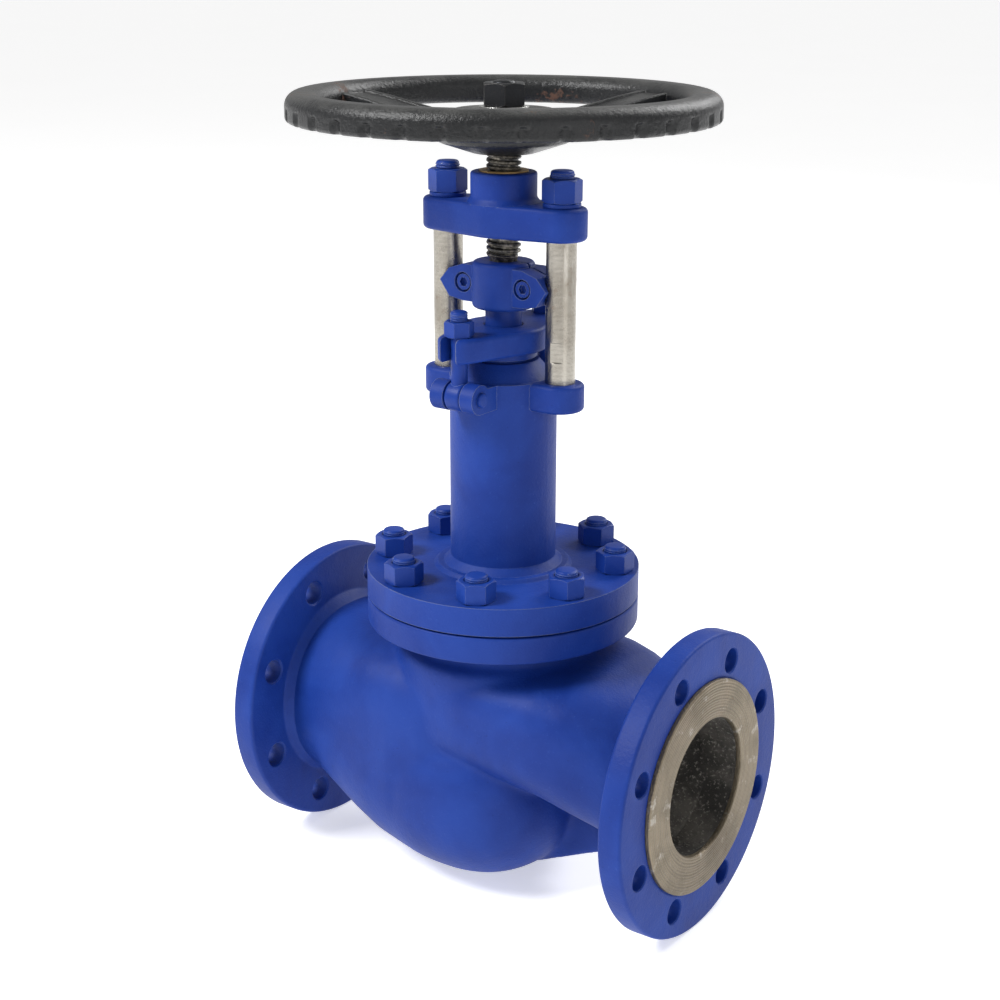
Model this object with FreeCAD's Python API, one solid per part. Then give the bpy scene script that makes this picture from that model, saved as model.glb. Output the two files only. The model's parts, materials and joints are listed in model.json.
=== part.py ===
import FreeCAD, Part
import math
import os

# Bellows-sealed globe valve, DN 100, PN 16, with a rising spindle in a two-pillar yoke.
# Millimetres, +Z up. The stem axis is the Z axis, the flow axis runs along X, and z = 0 is the floor
# that the end flanges stand on. Heights named *_z are measured from the flow axis.

# ---- Driving dimensions ----------------------------------------------------------------------------
# End flanges and bore
face_to_face = 350.0
flange_od = 220.0
flange_thickness = 21.3
raised_face_od = 156.0
raised_face_height = 3.0
bore_d = 100.0
end_bolt_circle_d = 180.0
end_bolt_hole_d = 18.0
end_bolt_count = 8
bore_straight_depth = 40.0

# Body casting
body_wall = 9.0
bowl_radius = 78.0
bowl_centre_x = -12.0
bowl_centre_z = -31.0
inlet_root_wall = 19.0
inlet_swell = 6.0
chamber_radius = 66.0
outlet_swell = 20.0
outlet_rise = 18.0
shoulder_z = 80.0
rib_thickness = 12.0
rib_foot_x = 42.0
rib_foot_z = -98.0

# Seat and disc
seat_z = 14.0
seat_ring_wall = 7.0
seat_ring_height = 12.0
seat_ring_proud = 2.0
seat_face_width = 2.5
partition_thickness = 14.0
disc_thickness = 14.0
disc_overlap = 3.0
disc_boss_height = 16.0

# Bonnet
bonnet_flange_od = 198.0
bonnet_joint_z = 110.0
body_top_flange_thickness = 20.5
gasket_thickness = 1.5
gasket_width = 8.0
bonnet_flange_thickness = 20.1
bonnet_spigot_depth = 4.0
bonnet_bolt_circle_d = 165.0
bonnet_bolt_count = 8
bonnet_stud_d = 16.0
bonnet_stud_grip = 17.0
bonnet_stud_top_z = 150.4
neck_od = 76.2
neck_wall = 9.0
neck_pad_d = 100.0
neck_pad_height = 2.5
neck_fillet = 5.0

# Yoke: two pillars standing on ears at the bonnet top, and the bridge across them
pillar_spacing = 96.0
pillar_d = 21.0
pillar_thread_d = 16.0
pillar_flat_af = 19.0
pillar_flat_z = 288.0
pillar_flat_length = 14.0
pillar_flat_turn = 18.0
ear_radius = 17.0
ear_bottom_z = 253.0
ear_top_z = 272.5
bridge_bottom_z = 371.0
bridge_thickness = 22.5
bridge_end_radius = 17.5
bridge_middle_radius = 26.0
boss_d = 46.0
boss_top_z = 414.0
pillar_washer_d = 26.0
pillar_washer_thickness = 3.0
pillar_nut_height = 16.0
pillar_thread_proud = 5.5

# Stuffing box and gland
packing_width = 8.0
packing_ring_height = 8.0
packing_ring_count = 4
box_top_z = 284.0
box_top_radius = 25.0
box_cone_radius = 35.0
junk_ring_height = 6.0
gland_flange_bottom_z = 291.0
gland_flange_thickness = 17.0
gland_middle_radius = 31.0
gland_end_radius = 14.5
gland_bolt_offset = 52.0
gland_bolt_d = 12.0
gland_nut_height = 10.8
gland_bolt_proud = 6.7
gland_follower_entry = 12.0
eye_radius = 10.2
eye_width = 13.5
eye_pivot_z = 266.0
lug_thickness = 11.0
lug_radius = 10.4
clevis_pin_d = 10.0
clevis_pin_proud = 3.0

# Lower stem, bellows and clamp
stem_d = 25.7
stem_tip_d = 20.0
stem_button_d = 26.0
stem_button_height = 6.0
bellows_od = 52.0
bellows_id = 34.0
bellows_wall = 0.8
bellows_bottom_z = 88.0
bellows_top_z = 226.0
bellows_waves = 18
bellows_ring_height = 8.0
clamp_bottom_z = 320.0
clamp_height = 32.7
clamp_body_radius = 22.0
clamp_face_y = 14.0
clamp_half_width = 45.0
clamp_gap = 2.0
clamp_screw_spacing = 50.0
clamp_screw_z = 336.7
clamp_screw_d = 8.0
clamp_screw_head_d = 11.5
clamp_screw_head_height = 6.0
clamp_counterbore_d = 14.0
wing_height = 26.0
stem_collar_rim = 3.65
stem_collar_height = 5.0

# Spindle and handwheel
spindle_d = 24.5
thread_pitch = 4.0
thread_flank_deg = 15.0
thread_relief = 0.25
spindle_neck_d = 19.0
spindle_head_rim = 2.15
spindle_head_height = 6.0
thrust_ring_height = 3.0
bush_od = 34.0
bush_proud = 1.0
lift_to_close = 11.0
wheel_od = 295.0
wheel_rim_width = 25.0
wheel_rim_height = 19.5
wheel_rim_top_z = 468.0
wheel_hub_bottom_z = 426.6
wheel_hub_top_z = 455.5
wheel_hub_d = 56.0
wheel_dish_d = 96.0
wheel_dish_z = 434.0
spoke_count = 3
spoke_first_deg = 65.0
spoke_width_inner = 40.0
spoke_width_outer = 30.0
spoke_thickness = 9.0
grip_notch_count = 36
grip_notch_radius = 4.5
grip_notch_height = 9.0
wheel_square = 17.0
wheel_washer_d = 34.0
wheel_washer_thickness = 2.0
wheel_nut_height = 16.5
wheel_thread_d = 16.0
wheel_thread_proud = 1.5

# Clearances and allowances
sliding_clearance = 0.15
running_clearance = 0.08
hole_clearance = 1.0
thread_fit = 0.08
loose_clearance = 0.4
notch_clearance = 0.5
thread_gap = 0.05
seat_clearance = 0.1
cut_margin = 1.0
m16_across_flats = 24.0
m12_across_flats = 18.0

# ---- Derived sizes -----------------------------------------------------------------------------------
flow_z = flange_od / 2
half_length = face_to_face / 2
bore_r = bore_d / 2
flange_inner_x = half_length - flange_thickness
root_radius = bore_r + body_wall + 3.0
inlet_root_radius = bore_r + inlet_root_wall
body_flange_bottom_z = bonnet_joint_z - body_top_flange_thickness
bonnet_bottom_z = bonnet_joint_z + gasket_thickness
bonnet_flange_top_z = bonnet_bottom_z + bonnet_flange_thickness
neck_outer_r = neck_od / 2
neck_inner_r = neck_outer_r - neck_wall
pillar_x = pillar_spacing / 2
bridge_top_z = bridge_bottom_z + bridge_thickness
stem_r = stem_d / 2
stem_collar_d = stem_d + 2 * stem_collar_rim
spindle_head_d = stem_d + 2 * spindle_head_rim
packing_outer_r = stem_r + packing_width
packing_bottom_z = box_top_z - gland_follower_entry - packing_ring_count * packing_ring_height
packing_top_z = box_top_z - gland_follower_entry
gland_flange_top_z = gland_flange_bottom_z + gland_flange_thickness
gland_nut_top_z = gland_flange_top_z + gland_nut_height
clamp_top_z = clamp_bottom_z + clamp_height
stem_collar_z = clamp_bottom_z + 6.0
stem_top_z = stem_collar_z + stem_collar_height + 3.0
spindle_foot_z = stem_top_z + thrust_ring_height
spindle_thread_bottom_z = clamp_top_z + 4.0
spindle_thread_top_z = wheel_hub_bottom_z - 1.0
bush_bottom_z = bridge_bottom_z + 2.0
bush_top_z = boss_top_z + bush_proud
seat_ring_outer_r = bore_r + seat_ring_wall
disc_r = bore_r + seat_face_width + disc_overlap
disc_bottom_z = seat_z + lift_to_close + seat_clearance
wheel_washer_z = wheel_hub_top_z
wheel_nut_z = wheel_washer_z + wheel_washer_thickness
wheel_nut_top_z = wheel_nut_z + wheel_nut_height
stem_bottom_z = disc_bottom_z + disc_thickness - 4.0


# ---- Helpers -------------------------------------------------------------------------------------------
def at(x, y, z):
    """A point given by its height above the flow axis."""
    return FreeCAD.Vector(x, y, z + flow_z)


def rod(radius, bottom, top, x=0.0, y=0.0):
    """An upright cylinder between two heights."""
    return Part.makeCylinder(radius, top - bottom, at(x, y, bottom))


def rod_along(radius, length, start, direction):
    """A cylinder from a point along a direction."""
    return Part.makeCylinder(radius, length, start, FreeCAD.Vector(*direction))


def tube(outer, inner, bottom, top, x=0.0, y=0.0):
    """An upright ring between two heights, with a cutter that runs past both ends."""
    bore = rod(inner, bottom - cut_margin, top + cut_margin, x, y)
    return rod(outer, bottom, top, x, y).cut(bore)


def block(x0, x1, y0, y1, z0, z1):
    """A box between two corners."""
    return Part.makeBox(x1 - x0, y1 - y0, z1 - z0, at(x0, y0, z0))


def prism(points, z0, z1):
    """An upright prism on a plan outline."""
    corners = [at(x, y, z0) for x, y in points]
    face = Part.Face(Part.makePolygon(corners + corners[:1]))
    return face.extrude(FreeCAD.Vector(0, 0, z1 - z0))


def turned(points):
    """A solid turned about the Z axis from (radius, height) points."""
    corners = [at(r, 0, z) for r, z in points]
    face = Part.Face(Part.makePolygon(corners + corners[:1]))
    return face.revolve(at(0, 0, 0), FreeCAD.Vector(0, 0, 1), 360)


def hexagon(across_flats, bottom, top, x, y, turn_deg):
    """A hexagonal prism with its corners chamfered at the top."""
    corner = across_flats / math.sqrt(3)
    angles = [math.radians(turn_deg + 60 * k) for k in range(6)]
    outline = [(x + corner * math.cos(a), y + corner * math.sin(a)) for a in angles]
    slope = (corner - across_flats / 2) * 0.6
    cone = Part.makeCone(corner + top - bottom - slope, corner - slope, top - bottom, at(x, y, bottom))
    return prism(outline, bottom, top).common(cone)


def nut(across_flats, thread_d, bottom, top, x, y, turn_deg):
    """A hexagon nut on an upright axis."""
    hole = rod(thread_d / 2 + thread_gap, bottom - cut_margin, top + cut_margin, x, y)
    return hexagon(across_flats, bottom, top, x, y, turn_deg).cut(hole)


def stud(diameter, bottom, top, x, y):
    """A stud with a chamfered top end."""
    chamfer = diameter / 10
    shank = rod(diameter / 2, bottom, top - chamfer, x, y)
    end = Part.makeCone(diameter / 2, diameter / 2 - chamfer, chamfer, at(x, y, top - chamfer))
    return shank.fuse(end).removeSplitter()


def on_circle(count, circle_d, first_deg):
    """Places on a circle, as (x, y, angle in degrees)."""
    angles = [first_deg + 360.0 * k / count for k in range(count)]
    radius = circle_d / 2
    return [(radius * math.cos(math.radians(a)), radius * math.sin(math.radians(a)), a) for a in angles]


def upright_hull(circles, z0, z1):
    """A plate whose outline wraps a row of circles (u along the row, radius) by their tangents."""
    plate = None
    for (u_a, r_a), (u_b, r_b) in zip(circles, circles[1:]):
        gap = u_b - u_a
        sine = (r_a - r_b) / gap
        cosine = math.sqrt(1 - sine * sine)
        side = [(u_a + r_a * sine, r_a * cosine), (u_b + r_b * sine, r_b * cosine)]
        outline = side + [(u, -v) for u, v in reversed(side)]
        web = prism(outline, z0, z1).fuse([rod(r_a, z0, z1, u_a), rod(r_b, z0, z1, u_b)])
        plate = web if plate is None else plate.fuse(web)
    return plate.removeSplitter()


def round_edges(shape, radius, chosen):
    """Round the edges that a test on their centre and bounding box picks."""
    edges = [e for e in shape.Edges if chosen(e)]
    return shape.makeFillet(radius, edges)


def level_edges(*heights):
    """A test that picks edges lying flat at one of the heights."""
    def chosen(edge):
        box = edge.BoundBox
        flat = box.ZLength < 0.01
        return flat and any(abs(box.ZMin - flow_z - z) < 0.01 for z in heights)
    return chosen


def ring_section(x, centre_z, radius):
    """A circle across the flow, as a wire for a loft."""
    circle = Part.Circle(at(x, 0, centre_z), FreeCAD.Vector(1, 0, 0), radius)
    return Part.Wire(circle.toShape())


def neck(direction, start_x, centres, radii):
    """A neck lofted from an end flange to the middle of the body, through evenly spaced circles."""
    last = len(radii) - 1
    sections = [ring_section(direction * start_x * (1 - k / last), centre_z, radius)
                for k, (centre_z, radius) in enumerate(zip(centres, radii))]
    return Part.makeLoft(sections, True, False)


def bend(shift):
    """Heights of the evenly spaced circles of a neck that ends level, shifted up or down."""
    return [shift * math.sin(math.pi * k / 8) for k in range(5)]


# ---- Body ----------------------------------------------------------------------------------------------
def end_flange(direction):
    """An end flange with its raised face."""
    inner = at(direction * flange_inner_x, 0, 0)
    plate = rod_along(flange_od / 2, flange_thickness - raised_face_height, inner, (direction, 0, 0))
    face = rod_along(raised_face_od / 2, flange_thickness, inner, (direction, 0, 0))
    return plate.fuse(face).removeSplitter()


def end_flange_holes(direction):
    """Bolt holes of one end flange, straddling the centre lines."""
    first = 180.0 / end_bolt_count
    start = direction * (flange_inner_x - cut_margin)
    length = flange_thickness + 2 * cut_margin
    holes = []
    for y, z, _ in on_circle(end_bolt_count, end_bolt_circle_d, first):
        holes.append(rod_along(end_bolt_hole_d / 2, length, at(start, y, z), (direction, 0, 0)))
    return holes


def stud_places():
    """Places of the bonnet studs, straddling the centre lines."""
    return on_circle(bonnet_bolt_count, bonnet_bolt_circle_d, 180.0 / bonnet_bolt_count)


def make_body():
    """The one-piece casting: necks, bowl, partition, upper chamber and flanges."""
    bowl_centre = at(bowl_centre_x, 0, bowl_centre_z)
    bowl = Part.makeSphere(bowl_radius, bowl_centre)
    inlet_grown = inlet_swell / 4
    outlet_grown = outlet_swell / 4
    inlet_neck = neck(-1, flange_inner_x, bend(bowl_centre_z),
                      [inlet_root_radius + k * inlet_grown for k in range(5)])
    outlet_neck = neck(1, flange_inner_x, bend(outlet_rise),
                       [root_radius + k * outlet_grown for k in range(5)])
    dome = Part.makeSphere(root_radius + outlet_swell, at(0, 0, outlet_rise))
    above = block(-half_length, half_length, -flange_od, flange_od, shoulder_z, shoulder_z + flange_od)
    rib_corners = [at(x, -rib_thickness / 2, z) for x, z in
                   ((0, 0), (0, rib_foot_z), (rib_foot_x, rib_foot_z),
                    (flange_inner_x, -root_radius + 8.0), (flange_inner_x, 0))]
    rib = Part.Face(Part.makePolygon(rib_corners + rib_corners[:1]))
    rib = rib.extrude(FreeCAD.Vector(0, rib_thickness, 0))
    casting = inlet_neck.fuse(bowl).fuse(outlet_neck).fuse(dome).cut(above)
    collar = rod(chamber_radius + body_wall, 0, body_flange_bottom_z)
    top_flange = rod(bonnet_flange_od / 2, body_flange_bottom_z, bonnet_joint_z)
    for piece in (collar, top_flange, rib, end_flange(-1), end_flange(1)):
        casting = casting.fuse(piece)

    floor_z = seat_z - seat_ring_proud
    roof_z = floor_z - partition_thickness
    keep_upper = rod(chamber_radius + body_wall, roof_z, bonnet_joint_z)
    bowl_inside = Part.makeSphere(bowl_radius - body_wall, bowl_centre)
    inlet_start = half_length - bore_straight_depth
    lower = neck(-1, inlet_start, bend(bowl_centre_z), [bore_r, bore_r, bore_r, bore_r + 4, bore_r + 8])
    lower = lower.fuse(bowl_inside).cut(keep_upper)
    outlet = neck(1, inlet_start, bend(outlet_rise), [bore_r] * 5)
    outlet = outlet.cut(block(-half_length, chamber_radius, -bowl_radius, bowl_radius,
                              -half_length, floor_z))
    outlet = outlet.cut(bowl)
    upper = outlet.fuse(rod(chamber_radius, floor_z, bonnet_joint_z + cut_margin))
    bore_length = bore_straight_depth + cut_margin
    ports = [rod_along(bore_r, bore_length, at(side * (half_length + cut_margin), 0, 0), (-side, 0, 0))
             for side in (-1, 1)]
    seat_hole = rod(bore_r, roof_z - cut_margin, floor_z + cut_margin)
    seat_pocket = rod(seat_ring_outer_r + running_clearance, seat_z - seat_ring_height,
                      floor_z + cut_margin)
    tapped = [rod(bonnet_stud_d / 2 + thread_gap, bonnet_joint_z - bonnet_stud_grip,
                  bonnet_joint_z + cut_margin, x, y)
              for x, y, _ in stud_places()]
    for cutter in (lower, upper, seat_hole, seat_pocket, ports, tapped,
                   end_flange_holes(-1), end_flange_holes(1)):
        casting = casting.cut(cutter)
    return casting


def make_seat_ring():
    """The hard-faced seat ring with its conical seating face."""
    bottom = seat_z - seat_ring_height
    return turned([(bore_r, bottom), (seat_ring_outer_r, bottom), (seat_ring_outer_r, seat_z),
                   (bore_r + seat_face_width, seat_z), (bore_r, seat_z - seat_face_width)])


def make_gasket():
    """The flat gasket between the body and the bonnet."""
    inner = chamber_radius
    return tube(inner + gasket_width, inner, bonnet_joint_z, bonnet_bottom_z)


# ---- Bonnet and yoke -------------------------------------------------------------------------------------
def make_bonnet():
    """The bonnet: flange, tall neck for the bellows, ears, gland lugs and stuffing box."""
    box_inner = packing_outer_r + sliding_clearance
    outside = turned([
        (0, bonnet_bottom_z - bonnet_spigot_depth),
        (chamber_radius - loose_clearance, bonnet_bottom_z - bonnet_spigot_depth),
        (chamber_radius - loose_clearance, bonnet_bottom_z),
        (bonnet_flange_od / 2, bonnet_bottom_z),
        (bonnet_flange_od / 2, bonnet_flange_top_z),
        (neck_pad_d / 2, bonnet_flange_top_z),
        (neck_pad_d / 2 - neck_pad_height, bonnet_flange_top_z + neck_pad_height),
        (neck_outer_r + neck_fillet, bonnet_flange_top_z + neck_pad_height),
        (neck_outer_r, bonnet_flange_top_z + neck_pad_height + neck_fillet),
        (neck_outer_r, ear_top_z),
        (box_cone_radius, ear_top_z),
        (box_top_radius, box_top_z),
        (0, box_top_z),
    ])
    ears = upright_hull([(-pillar_x, ear_radius), (pillar_x, ear_radius)], ear_bottom_z, ear_top_z)
    ears = round_edges(ears, 3.0, level_edges(ear_bottom_z, ear_top_z))
    bonnet = outside.fuse([ears] + [lug for side in (-1, 1) for lug in gland_lugs(side)])
    inside = turned([
        (0, bonnet_bottom_z - bonnet_spigot_depth - cut_margin),
        (chamber_radius - body_wall, bonnet_bottom_z - bonnet_spigot_depth - cut_margin),
        (chamber_radius - body_wall, bonnet_bottom_z + 4.0),
        (neck_inner_r, bonnet_flange_top_z),
        (neck_inner_r, bellows_top_z),
        (stem_r + loose_clearance, bellows_top_z),
        (stem_r + loose_clearance, packing_bottom_z - junk_ring_height),
        (box_inner, packing_bottom_z - junk_ring_height),
        (box_inner, box_top_z + cut_margin),
        (0, box_top_z + cut_margin),
    ])
    holes = [rod(bonnet_stud_d / 2 + hole_clearance / 2, bonnet_bottom_z - cut_margin,
                 bonnet_flange_top_z + cut_margin, x, y) for x, y, _ in stud_places()]
    sockets = [rod(pillar_thread_d / 2 + thread_gap, ear_bottom_z + 3.0, ear_top_z + cut_margin,
                   side * pillar_x)
               for side in (-1, 1)]
    return bonnet.cut([inside] + holes + sockets)


def gland_lugs(side):
    """The two lugs that hold one gland eye bolt, on the side given as -1 or 1 along Y."""
    inner_x = eye_width / 2 + loose_clearance
    lugs = []
    for hand in (-1, 1):
        start = hand * inner_x
        stop = hand * (inner_x + lug_thickness)
        centre = at(start, side * gland_bolt_offset, eye_pivot_z)
        cheek = rod_along(lug_radius, lug_thickness, centre, (hand, 0, 0))
        root = block(min(start, stop), max(start, stop),
                     min(0, side * gland_bolt_offset), max(0, side * gland_bolt_offset),
                     eye_pivot_z - lug_radius, min(eye_pivot_z + lug_radius, ear_top_z))
        root = root.cut(rod(neck_inner_r + 2.0, ear_bottom_z - cut_margin, ear_top_z + cut_margin))
        pin_hole = rod_along(clevis_pin_d / 2, lug_thickness + 2 * cut_margin,
                             at(start - hand * cut_margin, side * gland_bolt_offset, eye_pivot_z),
                             (hand, 0, 0))
        lugs.append(cheek.fuse(root).cut(pin_hole))
    return lugs


def make_pillar(side):
    """A pillar: threaded ends, plain polished shank and two spanner flats."""
    x = side * pillar_x
    top = bridge_top_z + pillar_washer_thickness + pillar_nut_height + pillar_thread_proud
    shank = rod(pillar_d / 2, ear_top_z, bridge_bottom_z, x)
    foot = rod(pillar_thread_d / 2, ear_bottom_z + 5.0, ear_top_z, x)
    head = stud(pillar_thread_d, bridge_bottom_z, top, x, 0)
    pillar = shank.fuse([foot, head])
    for hand in (-1, 1):
        flat = block(-pillar_d, pillar_d, pillar_flat_af / 2, pillar_d,
                     pillar_flat_z, pillar_flat_z + pillar_flat_length)
        flat.rotate(at(0, 0, 0), FreeCAD.Vector(0, 0, 1), pillar_flat_turn + (0 if hand > 0 else 180))
        flat.translate(FreeCAD.Vector(x, 0, 0))
        pillar = pillar.cut(flat)
    return pillar.removeSplitter()


def make_bridge():
    """The yoke bridge with the boss that holds the spindle bush."""
    plate = upright_hull([(-pillar_x, bridge_end_radius), (0, bridge_middle_radius),
                          (pillar_x, bridge_end_radius)], bridge_bottom_z, bridge_top_z)
    plate = round_edges(plate, 3.0, level_edges(bridge_bottom_z, bridge_top_z))
    boss = rod(boss_d / 2, bridge_bottom_z + 3.0, boss_top_z)
    boss = round_edges(boss, 1.5, level_edges(boss_top_z))
    bore = rod(bush_od / 2, bush_bottom_z, boss_top_z + cut_margin)
    spindle_way = rod(spindle_d / 2 + loose_clearance, bridge_bottom_z - cut_margin, bush_bottom_z)
    holes = [rod(pillar_thread_d / 2 + hole_clearance / 2, bridge_bottom_z - cut_margin,
                 bridge_top_z + cut_margin, side * pillar_x) for side in (-1, 1)]
    return plate.fuse(boss).cut([bore, spindle_way] + holes)


def make_bush():
    """The bronze yoke bush, a close running fit on the crests of the spindle thread."""
    return tube(bush_od / 2, spindle_d / 2 + thread_fit, bush_bottom_z, bush_top_z)


# ---- Gland -----------------------------------------------------------------------------------------------
def make_packing():
    """Packing rings, touching face to face."""
    rings = []
    for k in range(packing_ring_count):
        bottom = packing_bottom_z + k * packing_ring_height
        rings.append(tube(packing_outer_r, stem_r + sliding_clearance, bottom,
                          bottom + packing_ring_height))
    return rings


def make_gland_follower():
    """The follower that presses on the packing, with a shoulder under the gland flange."""
    inner = stem_r + sliding_clearance
    return turned([(inner, packing_top_z), (packing_outer_r, packing_top_z),
                   (packing_outer_r, box_top_z + 2.0), (packing_outer_r + 3.0, box_top_z + 2.0),
                   (packing_outer_r + 3.0, gland_flange_bottom_z), (inner, gland_flange_bottom_z)])


def make_gland_flange():
    """The oval gland flange, slotted at both ends for the eye bolts."""
    plate = upright_hull([(-gland_bolt_offset, gland_end_radius), (0, gland_middle_radius),
                          (gland_bolt_offset, gland_end_radius)], gland_flange_bottom_z,
                         gland_flange_top_z)
    plate = round_edges(plate, 2.5, level_edges(gland_flange_bottom_z, gland_flange_top_z))
    plate.rotate(at(0, 0, 0), FreeCAD.Vector(0, 0, 1), 90)
    cutters = [rod(stem_r + loose_clearance, gland_flange_bottom_z - cut_margin,
                   gland_flange_top_z + cut_margin)]
    half_slot = gland_bolt_d / 2 + hole_clearance / 2
    reach = gland_bolt_offset + gland_end_radius + cut_margin
    for side in (-1, 1):
        low, high = sorted((side * gland_bolt_offset, side * reach))
        cutters.append(block(-half_slot, half_slot, low, high, gland_flange_bottom_z - cut_margin,
                             gland_flange_top_z + cut_margin))
        cutters.append(rod(half_slot, gland_flange_bottom_z - cut_margin,
                           gland_flange_top_z + cut_margin, 0, side * gland_bolt_offset))
    return plate.cut(cutters)


def make_eye_bolt(side):
    """A swing bolt with a round eye, on the side given as -1 or 1 along Y."""
    y = side * gland_bolt_offset
    top = gland_nut_top_z + gland_bolt_proud
    eye = rod_along(eye_radius, eye_width, at(-eye_width / 2, y, eye_pivot_z), (1, 0, 0))
    eye = eye.makeFillet(3.0, [e for e in eye.Edges if e.BoundBox.XLength < 0.01])
    shank = stud(gland_bolt_d, eye_pivot_z + clevis_pin_d / 2 + 1.0, top, 0, y)
    hole = rod_along(clevis_pin_d / 2 + running_clearance, eye_width + 2 * cut_margin,
                     at(-eye_width / 2 - cut_margin, y, eye_pivot_z), (1, 0, 0))
    return eye.fuse(shank).cut(hole)


def make_clevis_pin(side):
    """The pin through both lugs and the eye, headed over at its ends."""
    half = eye_width / 2 + loose_clearance + lug_thickness + clevis_pin_proud
    pin = rod_along(clevis_pin_d / 2, 2 * half, at(-half, side * gland_bolt_offset, eye_pivot_z), (1, 0, 0))
    return pin.makeFillet(1.5, [e for e in pin.Edges if e.BoundBox.XLength < 0.01])


# ---- Lower stem, bellows, disc ---------------------------------------------------------------------------
def make_lower_stem():
    """The sliding stem: button at the foot for the disc, collar at the top for the clamp."""
    button_top = stem_bottom_z + stem_button_height
    tip_top = disc_bottom_z + disc_thickness + disc_boss_height + 6.0
    return turned([(0, stem_bottom_z), (stem_button_d / 2, stem_bottom_z),
                   (stem_button_d / 2, button_top), (stem_tip_d / 2, button_top),
                   (stem_tip_d / 2, tip_top), (stem_r, tip_top + 3.0),
                   (stem_r, stem_collar_z), (stem_collar_d / 2, stem_collar_z),
                   (stem_collar_d / 2, stem_collar_z + stem_collar_height),
                   (stem_r, stem_collar_z + stem_collar_height), (stem_r, stem_top_z), (0, stem_top_z)])


def make_disc():
    """The valve disc, with a cavity for the stem button and a cone that meets the seat."""
    bottom = disc_bottom_z - seat_face_width
    pocket_bottom = stem_bottom_z - running_clearance
    pocket_r = stem_button_d / 2 + 2.5
    top = disc_bottom_z + disc_thickness
    boss_top = top + disc_boss_height
    return turned([(0, bottom), (bore_r - loose_clearance, bottom),
                   (bore_r + seat_face_width - seat_clearance, disc_bottom_z),
                   (disc_r, disc_bottom_z), (disc_r, top - 2.0), (disc_r - 2.0, top),
                   (pocket_r + 6.0, top + 3.0), (pocket_r + 6.0, boss_top), (pocket_r, boss_top),
                   (pocket_r, pocket_bottom), (0, pocket_bottom)])


def make_disc_retainer():
    """The ring nut that holds the stem button in the disc, leaving the disc free to swivel."""
    pocket_r = stem_button_d / 2 + 2.5
    bottom = stem_bottom_z + stem_button_height + running_clearance
    boss_top = disc_bottom_z + disc_thickness + disc_boss_height
    inner = stem_tip_d / 2 + sliding_clearance
    return turned([(inner, bottom), (pocket_r, bottom), (pocket_r, boss_top),
                   (pocket_r + 3.0, boss_top), (pocket_r + 3.0, boss_top + 3.0), (inner, boss_top + 3.0)])


def make_bellows():
    """The corrugated bellows as one thin turned wall."""
    inner, outer = bellows_id / 2, bellows_od / 2
    bottom = bellows_bottom_z + bellows_ring_height
    top = bellows_top_z - bellows_ring_height
    step = (top - bottom) / (2 * bellows_waves)
    heights = [bottom + k * step for k in range(2 * bellows_waves + 1)]
    wave = [(inner if k % 2 == 0 else outer - bellows_wall, z) for k, z in enumerate(heights)]
    outside = [(r + bellows_wall, z) for r, z in reversed(wave)]
    return turned(wave + outside)


def make_bellows_rings():
    """The fixed top ring, welded into the neck, and the bottom ring, welded to the stem."""
    shoulder = bellows_id / 2 + bellows_wall
    top_ring = turned([(stem_r + loose_clearance, bellows_top_z - bellows_ring_height),
                       (shoulder, bellows_top_z - bellows_ring_height),
                       (shoulder, bellows_top_z - bellows_ring_height / 2),
                       (neck_inner_r, bellows_top_z - bellows_ring_height / 2),
                       (neck_inner_r, bellows_top_z), (stem_r + loose_clearance, bellows_top_z)])
    bottom_ring = turned([(stem_r, bellows_bottom_z), (bellows_id / 2 + 4.0, bellows_bottom_z),
                          (shoulder, bellows_bottom_z + bellows_ring_height),
                          (stem_r, bellows_bottom_z + bellows_ring_height)])
    return top_ring, bottom_ring


# ---- Clamp ---------------------------------------------------------------------------------------------
def clamp_cavity():
    """The space inside the clamp: stem, stem collar, thrust ring and spindle head."""
    head_r = spindle_head_d / 2 + sliding_clearance
    head_top = spindle_foot_z + spindle_head_height + sliding_clearance
    collar_r = stem_collar_d / 2
    collar_top = stem_collar_z + stem_collar_height
    return turned([(0, clamp_bottom_z - cut_margin), (stem_r, clamp_bottom_z - cut_margin),
                   (stem_r, stem_collar_z), (collar_r, stem_collar_z), (collar_r, collar_top),
                   (head_r, collar_top), (head_r, head_top),
                   (spindle_neck_d / 2 + sliding_clearance, head_top),
                   (spindle_neck_d / 2 + sliding_clearance, clamp_top_z + cut_margin),
                   (0, clamp_top_z + cut_margin)])


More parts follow.
